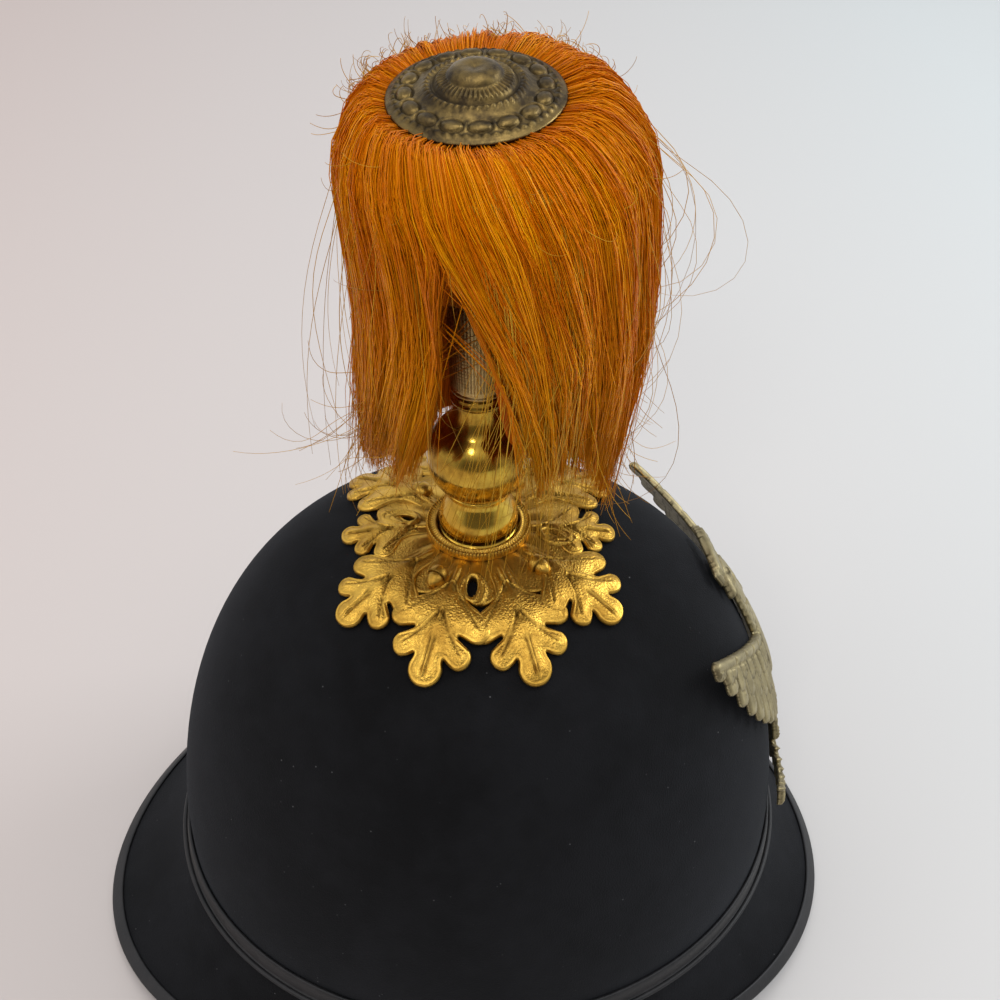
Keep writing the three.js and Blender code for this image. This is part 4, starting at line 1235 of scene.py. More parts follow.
def hair_point(way, angle, inset, foot):
    """
    Point of the hair. A way of 0 to 1 runs over the head and 1 to 2 down to the foot. Height and reach come
    from the two tables, moved in by an inset, square to the table's slope, and by the tuck at the parting.
    The reach narrows between locks by the square of the phase.
    """
    way, angle, inset, foot = np.broadcast_arrays(way, angle, inset, foot)
    over, down, hanging = np.clip(way, 0, 1), np.clip(way - 1, 0, 1), way > 1
    head = np.linspace(0, 1, len(HEAD))
    height = np.where(hanging, mix(SHOULDER, foot, down), np.interp(over, head, HEAD[:, 0]))
    reach, forward = (hair_table(over, down, hanging, column) for column in (1, 2))
    beside = bell(np.degrees(wrapped(angle - PART["angle"])), TUCK["middle"], TUCK["width"])
    inset = inset + TUCK["depth"] * beside * smoothstep(SHOULDER - height, 0, TUCK["over"])
    inwards = np.where(hanging, 1, -np.interp(over, head, HEAD_SLOPE[:, 0]))
    downwards = np.where(hanging, 0, np.interp(over, head, HEAD_SLOPE[:, 1]))
    groove = LOCK_GROOVE["head"] * over**2 + LOCK_GROOVE["hanging"] * np.clip(down * 2, 0, 1)
    radius = (reach - inset * inwards) * (1 - groove * lock_phase(angle)[1] ** 2)
    x, y, height = np.moveaxis(spun(radius, angle, height - inset * downwards), -1, 0)
    leaning = smoothstep(height, PLUME["roof"], PLUME["top"])
    return np.stack([x, y - forward, height + (x * LEAN_X - y * LEAN_Y) * leaning], axis=-1)


print("a front hair ends at", hair_point(2, 0, 0, PLUME["foot"]))

# %% [markdown]
# Hair gets its look from many tones lying side by side, so each strand carries its own `shade`, and `along`
# says how far down it a point is. Dyed orange, its highlights are yellow rather than white, which the
# specular tint gives. Every hair finish is darkened near the rosette, as painted shade under the disc. The
# underlayer uses the same shader with deeper colours, painted shade of the hair deep in the plume, streaked
# along its fall.

# %% Horsehair finishes
ORANGE_GLINT = colour(1.0, 0.55, 0.03)
# Painted shade: every hair finish deepens towards the rosette, under the disc.
ROOT_PAINTED_SHADE = 0.45  # how far the hair deepens at the rosette
STREAK_BUMP = 0.0012


def hair_finish(name, deep, middle, bright, rough, streaked=False):
    """Three tones blended by the shade. A streaked finish takes it from a noise drawn out along the flow."""
    made, tree, shader = material(name, Roughness=rough, Specular_IOR_Level=0.36, Specular_Tint=ORANGE_GLINT)
    shade = mask_value(tree, "shade")
    if streaked:
        flow = node(tree, "ShaderNodeAttribute", attribute_name="flow").outputs["Vector"]
        streaks = noise(tree, flow, 1.0, 4.0)
        shade = maths(tree, "MULTIPLY", ranged(tree, streaks, 0.3, 0.7), 0.9)
        link(tree, bump(tree, streaks, STREAK_BUMP, 0.9), shader, "Normal")
    first = mixed(tree, ranged(tree, shade, 0.0, 0.5), deep, middle)
    tone = mixed(tree, ranged(tree, shade, 0.5, 1.0), first, bright)
    # Painted shade near the rosette.
    painted_root_shade = ranged(tree, mask_value(tree, "along"), 0.0, 0.16, ROOT_PAINTED_SHADE, 0.0)
    link(tree, mixed(tree, painted_root_shade, tone, deep), shader, "Base Color")
    return made


HAIR_FINISH = hair_finish(
    "dyed_horsehair", colour(0.40, 0.074, 0.001), colour(0.64, 0.152, 0.001), colour(0.86, 0.36, 0.003), 0.34,
)
# Deeper colours than the strands: painted shade of the hair deep in the plume.
UNDER_FINISH = hair_finish(
    "horsehair_underlayer", colour(0.30, 0.046, 0.001), colour(0.54, 0.11, 0.001), colour(0.66, 0.16, 0.002),
    0.5, streaked=True,
)
# Paler and more olive than the plume: painted light shining through thin hairs.
STRAY_FINISH = hair_finish(
    "horsehair_strays", colour(0.30, 0.13, 0.012), colour(0.50, 0.24, 0.02), colour(0.78, 0.46, 0.04), 0.34,
)
print("finishes:", HAIR_FINISH.name, UNDER_FINISH.name, STRAY_FINISH.name)

# %% [markdown]
# The mass is a closed ring of sections like the felt, 3 mm inside the way of the hairs, and it ends above
# their tips. Its inside hollows the locks out, and its roof closes it round the tube. The `flow` mask is a
# place on a drum, which changes fast round the plume and slowly down it, so that its noise makes streaks.

# %% Mass of the plume
PLUME_STEPS = 288
MASS_INSET = 3.0
# How much higher the mass ends beside the parting, and the feet between which that grows.
SHORTER_MASS = {"rise": 16, "from": 237, "to": 252}
# Down the inside of the locks: part of the hanging way, and the inset there.
LOCK_INSIDE = np.array([(0.94, 3.2), (0.5, 6.5), (0.25, 8.0)])
# The roof inwards to the bore, and the top outwards again: radius, how far forward, and height.
ROOF = [(26, 5, PLUME["roof"] - 9), (14, 0, PLUME["roof"]), (BORE, 0, PLUME["roof"])]
CAP = [(BORE, 0, PLUME["top"] - 1.5), (11, 0, PLUME["top"] - 1.5)]
# Shade of those points, as a part of the way down.
CAP_FALL, INSIDE_FALL = [0, 0], [0.95, 0.75, 0.6, 0.5, 0.4, 0.4]
STREAK_DRUM, STREAK_FALL = 70, 5


def plume_mass():
    """Closed ring of sections: under the rosette, over the head, down a lock, and back up inside."""
    angle = round_angles(PLUME_STEPS)
    foot = lock_foot(angle)
    shorter = SHORTER_MASS["rise"] * smoothstep(foot, SHORTER_MASS["from"], SHORTER_MASS["to"])
    foot = np.minimum(foot + shorter, PART["top"])
    way = np.concatenate([np.linspace(0, 1, 30), np.linspace(1, 1.94, 14)[1:]])
    outside = hair_point(way[None, :], angle, MASS_INSET, foot)
    inside = hair_point(1 + LOCK_INSIDE[:, 0], angle, LOCK_INSIDE[:, 1], foot)
    cap, roof = (
        [spun(radius, angle, height) - [0, forward, 0] for radius, forward, height in rings]
        for rings in (CAP, ROOF)
    )
    points = np.concatenate(cap + [outside, inside] + roof, axis=1)
    fall = np.broadcast_to(np.concatenate([CAP_FALL, way / 2, INSIDE_FALL]), points.shape[:2])
    masks = {"along": fall.ravel(), "shade": np.full(fall.size, 0.3)}
    drum = [STREAK_DRUM * np.cos(angle), STREAK_DRUM * np.sin(angle), STREAK_FALL * fall]
    flow = np.stack(np.broadcast_arrays(*drum), axis=-1)
    return (points.reshape(-1, 3), grid_cells(*fall.shape, True, True), NO_FACES, masks), flow


mass_body, flow = plume_mass()
mass = make_piece("plume_mass", [mass_body], UNDER_FINISH, ["plume"])
streaks = mass.data.attributes.new("flow", "FLOAT_VECTOR", "POINT")
streaks.data.foreach_set("vector", flow.astype(np.float32).ravel())

# %% [markdown]
# A strand is a thin three-sided tube along an axis of a few knots. All the tubes of a layer are made at
# once, as one array.

# %% Tubes
THIRDS = np.radians([90, 210, 330])


def tubes(axis, radius, shade, along, side=None):
    """
    Three-sided tubes along many axes at once. At each knot the side, unless it is given, is the way round the
    spike less its part along the axis, and a corner is the radius along the side, turned by a third each.
    """
    count, knots, _ = axis.shape
    step = unit(np.gradient(axis, axis=1))
    if side is None:
        around = unit(np.cross([0, 0, 1.0], axis))
        side = unit(around - step * np.sum(around * step, axis=-1, keepdims=True))
    up = np.cross(side, step)
    offset = np.cos(THIRDS)[:, None] * side[..., None, :] + np.sin(THIRDS)[:, None] * up[..., None, :]
    points = (axis[..., None, :] + offset * radius[..., None, None]).reshape(-1, 3)
    first = (np.arange(count) * knots * 3)[:, None, None]
    quads = (grid_cells(knots, 3, False, True)[None] + first).reshape(-1, 4)
    ends = np.array([[2, 1, 0], [knots * 3 - 3, knots * 3 - 2, knots * 3 - 1]])
    tris = (ends[None] + first).reshape(-1, 3)
    masks = {"shade": shade, "along": along}
    masks = {key: np.repeat(np.broadcast_to(mask, (count, knots)).ravel(), 3) for key, mask in masks.items()}
    return points, quads, tris, masks


print("a tube of ten knots has", 3 * 10, "points")

# %% [markdown]
# On its way a hair also moves round the plume. It swirls forward over the head, and lower down it sweeps
# away from the parting on both sides. What would still cross the opening is moved to its edge.

# %% Sweep and parting
PARTING = math.radians(-130)  # where the parting starts at the rosette
# How far each movement turns a hair beside the parting, and how far round it reaches.
SWIRL = {"turn": math.radians(17), "fade": math.radians(75)}
FORWARD_SWEEP = {"turn": math.radians(30), "fade": math.radians(60)}
REAR_SWEEP = {"turn": math.radians(14), "fade": math.radians(34)}
# The parting's opening: its top, how far down it widens, and each side's edge and widening a millimetre.
GAP = {"top": 303, "depth": 60, "starts_over": 8}
GAP_FRONT = {"edge": math.radians(3), "widening": math.radians(0.46)}
GAP_REAR = {"edge": math.radians(6), "widening": math.radians(0.05)}


def swept(root, way):
    """
    How far the hair has moved round at a part of the way. All of it swirls forward over the head. Below, hair
    in front of the parting goes on forward and hair behind it turns back near its tips. Each movement fades
    exponentially with the distance from the parting.
    """
    away = wrapped(root - PARTING)
    swirl, ahead, back = (
        sweep["turn"] * np.exp(-np.abs(away) / sweep["fade"]) for sweep in (SWIRL, FORWARD_SWEEP, REAR_SWEEP)
    )
    turned_back = -back * (np.clip(way - 1.4, 0, 1) / 0.6) ** 1.6
    lower = np.where(away > 0, ahead * smoothstep(way, 0.6, 2.4), turned_back)
    return swirl * smoothstep(way, 0.1, 0.95) + lower


def parted(angle, height):
    """
    Angles of each hair, moved clear of the parting to the side where its tip lies. The opening widens evenly
    below its top, and the distance from the parting becomes the hypotenuse of itself and the opening, so that
    hairs crowd along both edges.
    """
    away = wrapped(angle - PART["angle"])
    side = np.where(away[:, -1:] > 0, 1, -1)
    drop = np.clip(GAP["top"] - height, 0, GAP["depth"])
    front, rear = (gap["edge"] + drop * gap["widening"] for gap in (GAP_FRONT, GAP_REAR))
    clear = side * np.hypot(np.maximum(side * away, 0), np.where(side > 0, front, rear))
    return angle + (clear - away) * smoothstep(drop, 0, GAP["starts_over"])


print("the hair parts from a height of", GAP["top"], "mm")

# %% [markdown]
# Strands gather in clumps: they draw in on their way down, and a clump shares its tone, its depth and a
# slight wave. Three layers of 2,900 strands lie over one another, the inner ones darker as painted shade deep
# in the hair, the outer ones lighter and more mixed in tone. A lighter band over the head is painted
# highlight, and the lighter tips are painted light.

# %% Strands in clumps
WAY_KNOTS = np.array([0.03, 0.16, 0.29, 0.42, 0.56, 0.74, 0.97, 1.27, 1.64, 2.0])
KNOT_GAPS = np.gradient(WAY_KNOTS) * (WAY_KNOTS > 0.1) * (WAY_KNOTS < 1.9)
STRAND_RADIUS = 0.13
# Painted light: the lower hair is lightened towards its tips, which get less light.
TIP_PAINTED_LIGHT = 0.3
HEAD_DROP = PLUME["top"] - SHOULDER
# How far the clumps differ: half ranges of place and width, and spreads of wave and of where they are cut.
CLUMP = {"shift": 0.4, "narrow": 0.8, "wide": 2.0, "wave": 0.05, "cut": 3.0}
# How far the strands of a clump differ from it.
STRAND = {"spread": 0.5, "depth": 0.4, "tone": 0.09, "cut": 2.2, "wander": 0.016, "flare": 0.8}
RIPPLE = 0.22
FRIZZY = {"share": 0.18, "times": 3.0}  # some strands wander, flare and ripple more
SHORTEST_HANG = 3
# Painted highlight: clumps are lightened in a band where the hair bulges over the head.
PAINTED_HIGHLIGHT = {"clumps": 0.18, "strands": 0.12, "middle": 0.85, "width": 0.4}  # a lighter band on the head


def clumped_strands(count, clumps, inset, spread, seed, tone_middle, tone_range, shorter):
    """
    Strands of one layer. A clump has an angle, depth, tone, wave and foot of its own. Each strand keeps to
    its clump with small differences, draws in by half, and wanders by a sine of its own.
    """
    rng = np.random.default_rng(seed)
    clump = rng.integers(0, clumps, count)
    pitch = 2 * math.pi / clumps
    middle = (np.arange(clumps) + rng.uniform(-CLUMP["shift"], CLUMP["shift"], clumps)) * pitch
    width = pitch * rng.uniform(CLUMP["narrow"], CLUMP["wide"], clumps)
    depth = inset + spread * rng.uniform(-1, 1, clumps)
    tone = tone_middle + tone_range * rng.uniform(-1, 1, clumps)
    wave = rng.normal(0, CLUMP["wave"], clumps)
    cut = rng.normal(0, CLUMP["cut"], clumps)
    own = rng.normal(0, STRAND["spread"], count) * width[clump]
    way = WAY_KNOTS + KNOT_GAPS * rng.uniform(-0.5, 0.5, (count, 1))
    drawn = 1 - 0.5 * smoothstep(way, 0.5, 1.9)
    frizz = np.where(rng.random(count) < FRIZZY["share"], FRIZZY["times"], 1.0)[:, None]
    pace, start = rng.uniform(1.5, 3.5, (count, 1)), rng.uniform(0, 2 * math.pi, (count, 1))
    stray = frizz * rng.normal(0, STRAND["wander"], (count, 1)) * np.sin(pace * way + start)
    root = middle[clump][:, None] + own[:, None] * drawn
    bent = wave[clump][:, None] * np.sin(way * 2.1 + middle[clump][:, None] * 5) + stray
    angle = root + swept(root, way) + bent * smoothstep(way, 0.2, 1.2)
    first_foot = lock_foot(parted(angle[:, -1:], PLUME["foot"] + SHORT_SIDE["rise"]))
    head_drop = HEAD_DROP * np.clip(1 - way, 0, 1)
    angle = parted(angle, mix(SHOULDER, first_foot, np.clip(way - 1, 0, 1)) + head_drop)
    foot = lock_foot(angle[:, -1:]) + cut[clump][:, None] + rng.normal(0, STRAND["cut"], (count, 1))
    foot = np.minimum(foot + shorter * rng.exponential(9.0, (count, 1)), SHOULDER - SHORTEST_HANG)
    lift = depth[clump] - 0.9 * bell(own, 0, width[clump]) + rng.normal(0, STRAND["depth"], count)
    flare = frizz * rng.normal(0.0, STRAND["flare"], (count, 1)) * smoothstep(way, 1.0, 2.0)
    ripple = frizz * RIPPLE * np.sin(1.7 * pace * way + 2 * start) * smoothstep(way, 0.3, 0.8)
    axis = hair_point(way, angle, lift[:, None] * smoothstep(way, -0.3, 0.3) + flare + ripple, foot)
    # Painted highlight over the head.
    painted_highlight = rng.normal(0, PAINTED_HIGHLIGHT["clumps"], clumps)[clump] + rng.normal(0, PAINTED_HIGHLIGHT["strands"], count)
    painted_highlight = np.clip(painted_highlight, 0, 1)[:, None] * bell(way, PAINTED_HIGHLIGHT["middle"], PAINTED_HIGHLIGHT["width"])
    shade = np.clip(tone[clump] + rng.normal(0, STRAND["tone"], count), 0, 1)[:, None] + painted_highlight
    # Painted light towards the tips.
    shade += TIP_PAINTED_LIGHT * smoothstep(way, 1.1, 1.8)
    thickness = rng.uniform(0.75, 1.2, count)[:, None] * mix(1.0, 0.5, smoothstep(way, 1.3, 2.0))
    return tubes(axis, STRAND_RADIUS * thickness, shade, way / 2)


# Each layer: name, strands, clumps, inset and its spread, seed, tone and its range, and how ragged.
LAYERS = [
    ("plume_inner_hair", 2900, 90, 2.8, 0.6, 21, 0.40, 0.08, 0.2),
    ("plume_middle_hair", 2900, 120, 2.0, 0.7, 22, 0.50, 0.10, 0.35),
    ("plume_outer_hair", 2900, 150, 1.2, 0.8, 23, 0.58, 0.14, 0.5),
]
for name, *layer in LAYERS:
    make_piece(name, [clumped_strands(*layer)], HAIR_FINISH)

# %% [markdown]
# Old horsehair is never all in place. Some hairs spring out of the plume in wide arcs, short ones curl over
# the rosette's edge, tips fan out, and a few hang across the parting in front of the spike. Each is one
# more thin tube whose heading turns evenly on its way, which is how a springy hair bends.

# %% Loose hairs
LOOSE_KNOTS = 14
LOOSE_RADIUS = 0.11
LOOSE_INSET = 1.5


def loose_hairs(count, ways, angles, lengths, leaves, turns, lean, seed):
    """
    Hairs out of place, each drawn between the ends of every range. One leaves the plume along its fall and
    turns away in a plane that leans round by up to the lean. Its heading is the leaving angle plus the turn
    times the part of its length, and its route is the running sum of the heading's cosine and sine.
    """
    rng = np.random.default_rng(seed)
    way, angle = rng.uniform(*ways, count), np.radians(rng.uniform(*angles, count))
    length = rng.uniform(*lengths, (count, 1))
    leave, turn = np.radians(rng.uniform(*leaves, (count, 1))), np.radians(rng.uniform(*turns, (count, 1)))
    tilt = np.radians(rng.uniform(-lean, lean, (count, 1)))
    foot = lock_foot(angle)
    begin = hair_point(way, angle, LOOSE_INSET, foot)
    ahead = unit(hair_point(way + 0.05, angle, LOOSE_INSET, foot) - begin)
    round_spike = unit(np.cross(ahead, begin * [1, 1, 0]))
    away = np.cross(round_spike, ahead)
    bend = away * np.cos(tilt) + round_spike * np.sin(tilt)
    part = np.linspace(0, 1, LOOSE_KNOTS)[None, :]
    sway = rng.normal(0, 0.12, (count, 1)) * np.sin(rng.uniform(4, 9, (count, 1)) * part)
    heading = leave * smoothstep(part, -0.1, 0.25) + turn * part**1.2 + sway
    step = length / (LOOSE_KNOTS - 1)
    fall, outwards = np.cumsum(np.cos(heading), axis=1) * step, np.cumsum(np.sin(heading), axis=1) * step
    axis = begin[:, None] + fall[..., None] * ahead[:, None] + outwards[..., None] * bend[:, None]
    side = np.broadcast_to(np.cross(ahead, bend)[:, None], axis.shape)
    shade = np.clip(rng.normal(0.4, 0.16, (count, 1)), 0, 1)
    thickness = rng.uniform(0.7, 1.15, (count, 1)) * (1 - 0.4 * part**2)
    return tubes(axis, LOOSE_RADIUS * thickness, shade, 0.5 + 0.5 * part, side)


# Families of loose hairs: number, parts of the way, angles, lengths, leaving angles, turns, lean and seed.
LOOSE = [
    # short curls over the rosette's edge, on the wearer's left and all round
    (150, (0.28, 0.52), (20, 165), (5, 13), (10, 60), (80, 230), 60, 31),
    (24, (0.3, 0.7), (-180, 180), (6, 14), (5, 35), (60, 180), 60, 32),
    # wide arcs at the front
    (44, (0.5, 1.5), (-45, 45), (40, 95), (10, 45), (-260, -90), 45, 33),
    (14, (0.5, 0.9), (-20, 40), (60, 120), (20, 60), (-300, -120), 40, 39),
    # long hairs that stand off at the rear, and shorter ones all round
    (30, (0.6, 1.2), (150, 212), (50, 100), (5, 18), (-50, -16), 22, 34),
    (30, (0.6, 1.6), (-180, 180), (25, 70), (3, 20), (-90, 20), 40, 35),
    # tips that fan out: all round, at the front and at the rear
    (110, (1.75, 1.97), (-180, 180), (10, 28), (0, 30), (-50, 60), 60, 36),
    (50, (1.6, 1.95), (-20, 40), (14, 40), (0, 50), (-60, 80), 60, 37),
    (34, (1.6, 1.9), (150, 225), (20, 46), (10, 60), (-200, 160), 60, 40),
]
stray_hairs = [loose_hairs(*family) for family in LOOSE]
print(sum(family[0] for family in LOOSE), "loose hairs")

# %% [markdown]
# The last family hangs over the parting like a thin veil, so that the ball shines through it. With the
# other loose hairs it makes one piece.

# %% Veil over the parting
VEIL = {"hairs": 70, "seed": 38, "roots": (-101, -58), "feet": (192, 226), "flare": (-1.5, 2.5), "drift": 15}


def veil_hairs(count, seed):
    """Long hairs from the front edge of the parting. Each drifts by a smooth step to its own side."""
    rng = np.random.default_rng(seed)
    way = WAY_KNOTS[None, :]
    root = np.radians(rng.uniform(*VEIL["roots"], (count, 1)))
    drift = np.radians(rng.normal(0, VEIL["drift"], (count, 1))) * smoothstep(way, 1.2, 2.1)
    wave = np.radians(rng.normal(0, 2.5, (count, 1))) * np.sin(rng.uniform(2, 5, (count, 1)) * way)
    foot = rng.uniform(*VEIL["feet"], (count, 1))
    flare = rng.uniform(*VEIL["flare"], (count, 1)) * smoothstep(way, 1.2, 2.0)
    axis = hair_point(way, root + drift + wave * smoothstep(way, 0.8, 1.6), 0.6 - flare, foot)
    thickness = rng.uniform(0.8, 1.2, (count, 1)) * mix(1.0, 0.6, smoothstep(way, 1.3, 2.0))
    shade = np.clip(rng.normal(0.6, 0.15, (count, 1)), 0, 1)
    return tubes(axis, LOOSE_RADIUS * thickness, shade, way / 2)


stray_hairs.append(veil_hairs(VEIL["hairs"], VEIL["seed"]))
make_piece("plume_loose_hairs", stray_hairs, STRAY_FINISH)

# %% [markdown]
# The plate at the front is an eagle with raised wings under a plain ribbon, stamped in sheet brass that has
# gone dull. It curves back with the crown and bows from side to side. Like the ground of the oak-leaf base
# it is a height over a square grid, cut to its outline.

# %% Form of the plate
PLATE = {"sheet": 1.2, "foot": 50, "reach": 115.6, "slope": 2.5, "bend": 220, "wrap": 98, "turn": 6}


def plate_point(x, y, height):
    """Point on the plate: round its bow, up its arc, out of its back, then turned about the upright axis."""
    start = math.radians(PLATE["slope"])
    lean = start + y / PLATE["bend"]
    rise = PLATE["foot"] + PLATE["bend"] * (np.sin(lean) - math.sin(start))
    forward = PLATE["reach"] + PLATE["bend"] * (np.cos(lean) - math.cos(start))
    bow = x / PLATE["wrap"]
    out = unit(np.stack([np.sin(bow), -np.cos(bow), np.tan(lean)], axis=-1))
    point = spun(PLATE["wrap"], bow, rise)
    point[..., 1] += PLATE["wrap"] - forward
    point = point + out * height[..., None]
    turn = math.radians(PLATE["turn"])
    flat = np.array([[math.cos(turn), -math.sin(turn), 0], [math.sin(turn), math.cos(turn), 0], [0, 0, 1]])
    return point @ flat.T


print("the plate's foot stands at", plate_point(*np.zeros((3, 1)))[0].round(1))

# %% [markdown]
# Most shapes on the plate are bars: tapered strips with round ends, given by how deep each place of the
# grid lies in them. A feather is a bar with a ridge along its middle. The relief keeps the outline, the
# height and the dark hollows, partly tarnish and partly painted shade, of all that has been laid so far, and
# a new shape covers what lies under it.

# %% Laying shapes on the plate
DOME_POWER = 1.6
# The dark edge round each shape is partly tarnish and partly painted shade in the crease.
DARK_EDGE = 0.35
OUTSIDE = -9.0  # depth of a place in no shape at all
# A feather's quill is (height, middle, half width) across it. Its barbs are ripples that slant back from it.
QUILL, QUILL_END = (0.35, 0, 0.4), 0.93
BARBS = {"height": 0.07, "slant": 0.8, "pitch": 1.5, "margin": 0.5}
FEATHER_SHOULDER = 1.5


def bar(x, y, start, end, start_radius, end_radius):
    """Signed depth in a tapered bar with round ends, part of the way along it, and offset from its line."""
    start, end = np.asarray(start, float), np.asarray(end, float)
    step = end - start
    length = np.hypot(*step)
    along = ((x - start[0]) * step[0] + (y - start[1]) * step[1]) / length
    off = ((x - start[0]) * -step[1] + (y - start[1]) * step[0]) / length
    part = np.clip(along / length, 0, 1)
    radius = mix(start_radius, end_radius, part)
    gap = np.hypot(along - part * length, off)
    return radius - gap, part, off


class Relief:
    """The plate's grid while shapes are laid on it: outline, height and hollow mask."""

    def __init__(self, x, y):
        self.x, self.y = x, y
        self.inside = np.full(x.shape, OUTSIDE)
        self.height = np.full(x.shape, PLATE["sheet"])
        self.hollow = np.zeros(x.shape)

    def lay(self, depth, level, crown, width, extra=0.0, line=0.7):
        """Lays a shape over what is there: its level, a crown that grows with the depth, a dark edge."""
        on, deep = depth > -0.1, np.maximum(depth, 0)
        dome = crown * (1 - np.exp(-((deep / width) ** DOME_POWER)))
        self.height = np.where(on, PLATE["sheet"] + level + dome + extra, self.height)
        self.hollow = np.where(on, ridge(deep, line, 0, DARK_EDGE), self.hollow)
        self.inside = np.maximum(self.inside, depth)

    def lay_bar(self, start, end, radii, level, crown, width, line=0.7):
        """Lays a plain domed bar."""
        depth, _, _ = bar(self.x, self.y, start, end, *radii)
        self.lay(depth, level, crown, width, line=line)

    def feather(self, start, end, start_radius, end_radius, level, crown=0.75):
        """Lays a bar with a quill along its middle and ripples of barbs on both sides of it."""
        depth, part, off = bar(self.x, self.y, start, end, start_radius, end_radius)
        back = part * np.hypot(*np.subtract(end, start)) - BARBS["slant"] * np.abs(off)
        barbs = BARBS["height"] * np.cos(2 * math.pi * back / BARBS["pitch"]) * (depth > BARBS["margin"])
        self.lay(depth, level, crown, FEATHER_SHOULDER, ridge(off, *QUILL) * (part < QUILL_END) + barbs)


print("barbs", BARBS["pitch"], "mm apart")

# %% [markdown]
# A wing is drawn from its straight arm to the edge where its feathers end, in three rows of feathers from
# long to short, each a little higher. The tail and the two branches are laid first, so that the wings cover
# them.

# %% Wings, tail and branches
# A wing's arm runs from root and shoulder to tip and top, its feather edge from armpit to spread and corner.
WING = {"root": 8, "shoulder": 78, "tip": 52, "top": 119, "armpit": 44, "spread": 55, "corner": 112}
WING_CURVE = 1.6
# Each row: number of feathers, part of the way to the edge that they reach, level and radius.
WING_ROWS = ((12, 1.0, 0.1, 3.1), (10, 0.6, 0.5, 2.7), (9, 0.3, 0.9, 2.3))
WING_EDGE = 2.4  # how far the middle of a feather's round end stays inside the edge
ARM_DROP = 1.8
TAIL_REACHES = (-10.5, 10.5, -7, 7, -3.5, 3.5, 0)
BRANCH = {"from": (3, 16), "to": (38, 22), "sag": 6, "leaf": (3.8, 4.6)}


def wing_edges(part, side):
    """Arm and feather edge at a part of the way out: a straight line, and a power curve below it."""
    arm = (side * mix(WING["root"], WING["tip"], part), mix(WING["shoulder"], WING["top"], part))
    reach = mix(WING["root"], WING["spread"], math.sin(math.pi / 2 * part))
    return arm, (side * reach, mix(WING["armpit"], WING["corner"], part ** WING_CURVE))


def lay_wing(relief, side):
    """Long feathers from the arm to the edge, two rows of shorter ones over them, then the rolled arm."""
    for row, (count, reach, level, radius) in enumerate(WING_ROWS):
        for index in range(count):
            part = min((index + 0.3 * (row % 2)) / (count - 1), 1.0)
            arm, edge = np.array(wing_edges(part, side))
            start, tip = arm - [0, 2], edge + [-side * WING_EDGE, WING_EDGE]
            relief.feather(start, mix(start, tip, reach), radius * 0.75, radius, level + 0.03 * index)
    arm = [wing_edges(part, side)[0] for part in np.linspace(0, 1, 7)]
    arm = [(x, y - ARM_DROP) for x, y in arm]
    for index, (one, other) in enumerate(zip(arm[:-1], arm[1:])):
        relief.lay_bar(one, other, (2.0, 1.9), 1.1 - 0.05 * index, 0.9, 1.4, line=0.5)


def lay_tail(relief):
    """Seven feathers fanned out downwards, the middle one on top."""
    for index, reach in enumerate(TAIL_REACHES):
        foot = 3.5 + 0.035 * reach**2
        relief.feather((reach * 0.3, 34), (reach, foot + 1.5), 2.2, 3.0, 0.3 + 0.12 * index)


def lay_branch(relief, side):
    """A stem that sags, with pointed leaves in pairs along it."""
    part = np.linspace(0, 1, 8)
    out, up = (mix(start, end, part) for start, end in zip(BRANCH["from"], BRANCH["to"]))
    places = list(zip(side * out, up - BRANCH["sag"] * np.sin(math.pi * part)))
    for one, other in zip(places[:-1], places[1:]):
        relief.lay_bar(one, other, (1.3, 1.2), 0.5, 0.6, 0.9)
    leaf_out, leaf_up = BRANCH["leaf"]
    for index, place in enumerate(places[1:]):
        for way in (-1, 1):
            tip = (place[0] + side * leaf_out, place[1] + way * leaf_up)
            relief.feather(place, tip, 1.7, 0.7, 0.7 + 0.05 * index, 0.6)


print("feathers on a wing:", sum(row[0] for row in WING_ROWS))

# %% [markdown]
# The body covers the roots of the wings. Its outline and the shield's are half widths at a few heights. The
# breast's small feathers are rows of scales, each row moved along by half a scale.

# %% Body, head and ribbon
BREAST = {"foot": 30, "top": 108}
BREAST_HEIGHTS, BREAST_WIDTHS = [28, 42, 55, 67, 79, 92, 104], [4, 8, 11, 12, 11, 9, 7]
SCALE_PITCH, SCALE_EDGE = 3.4, (0.6, 0.52, 0.09)
SHIELD = {"foot": 45, "top": 82, "hollow_top": 0.02, "plain_above": 72, "bar_pitch": 3.3, "margin": 1.2}
SHIELD_HEIGHTS, SHIELD_WIDTHS = [45, 49, 55, 64, 76, 82], [0.5, 5, 8.6, 10.6, 10.2, 11]
SHIELD_BORDER = (0.35, 0.7, 0.4)
RIBBON = {"top": 119.8, "arch": 60, "half_height": 2.8, "half_length": 13, "fold": 10.5, "fold_height": 0.4}
RIBBON_BORDER = (0.3, 0.6, 0.35)


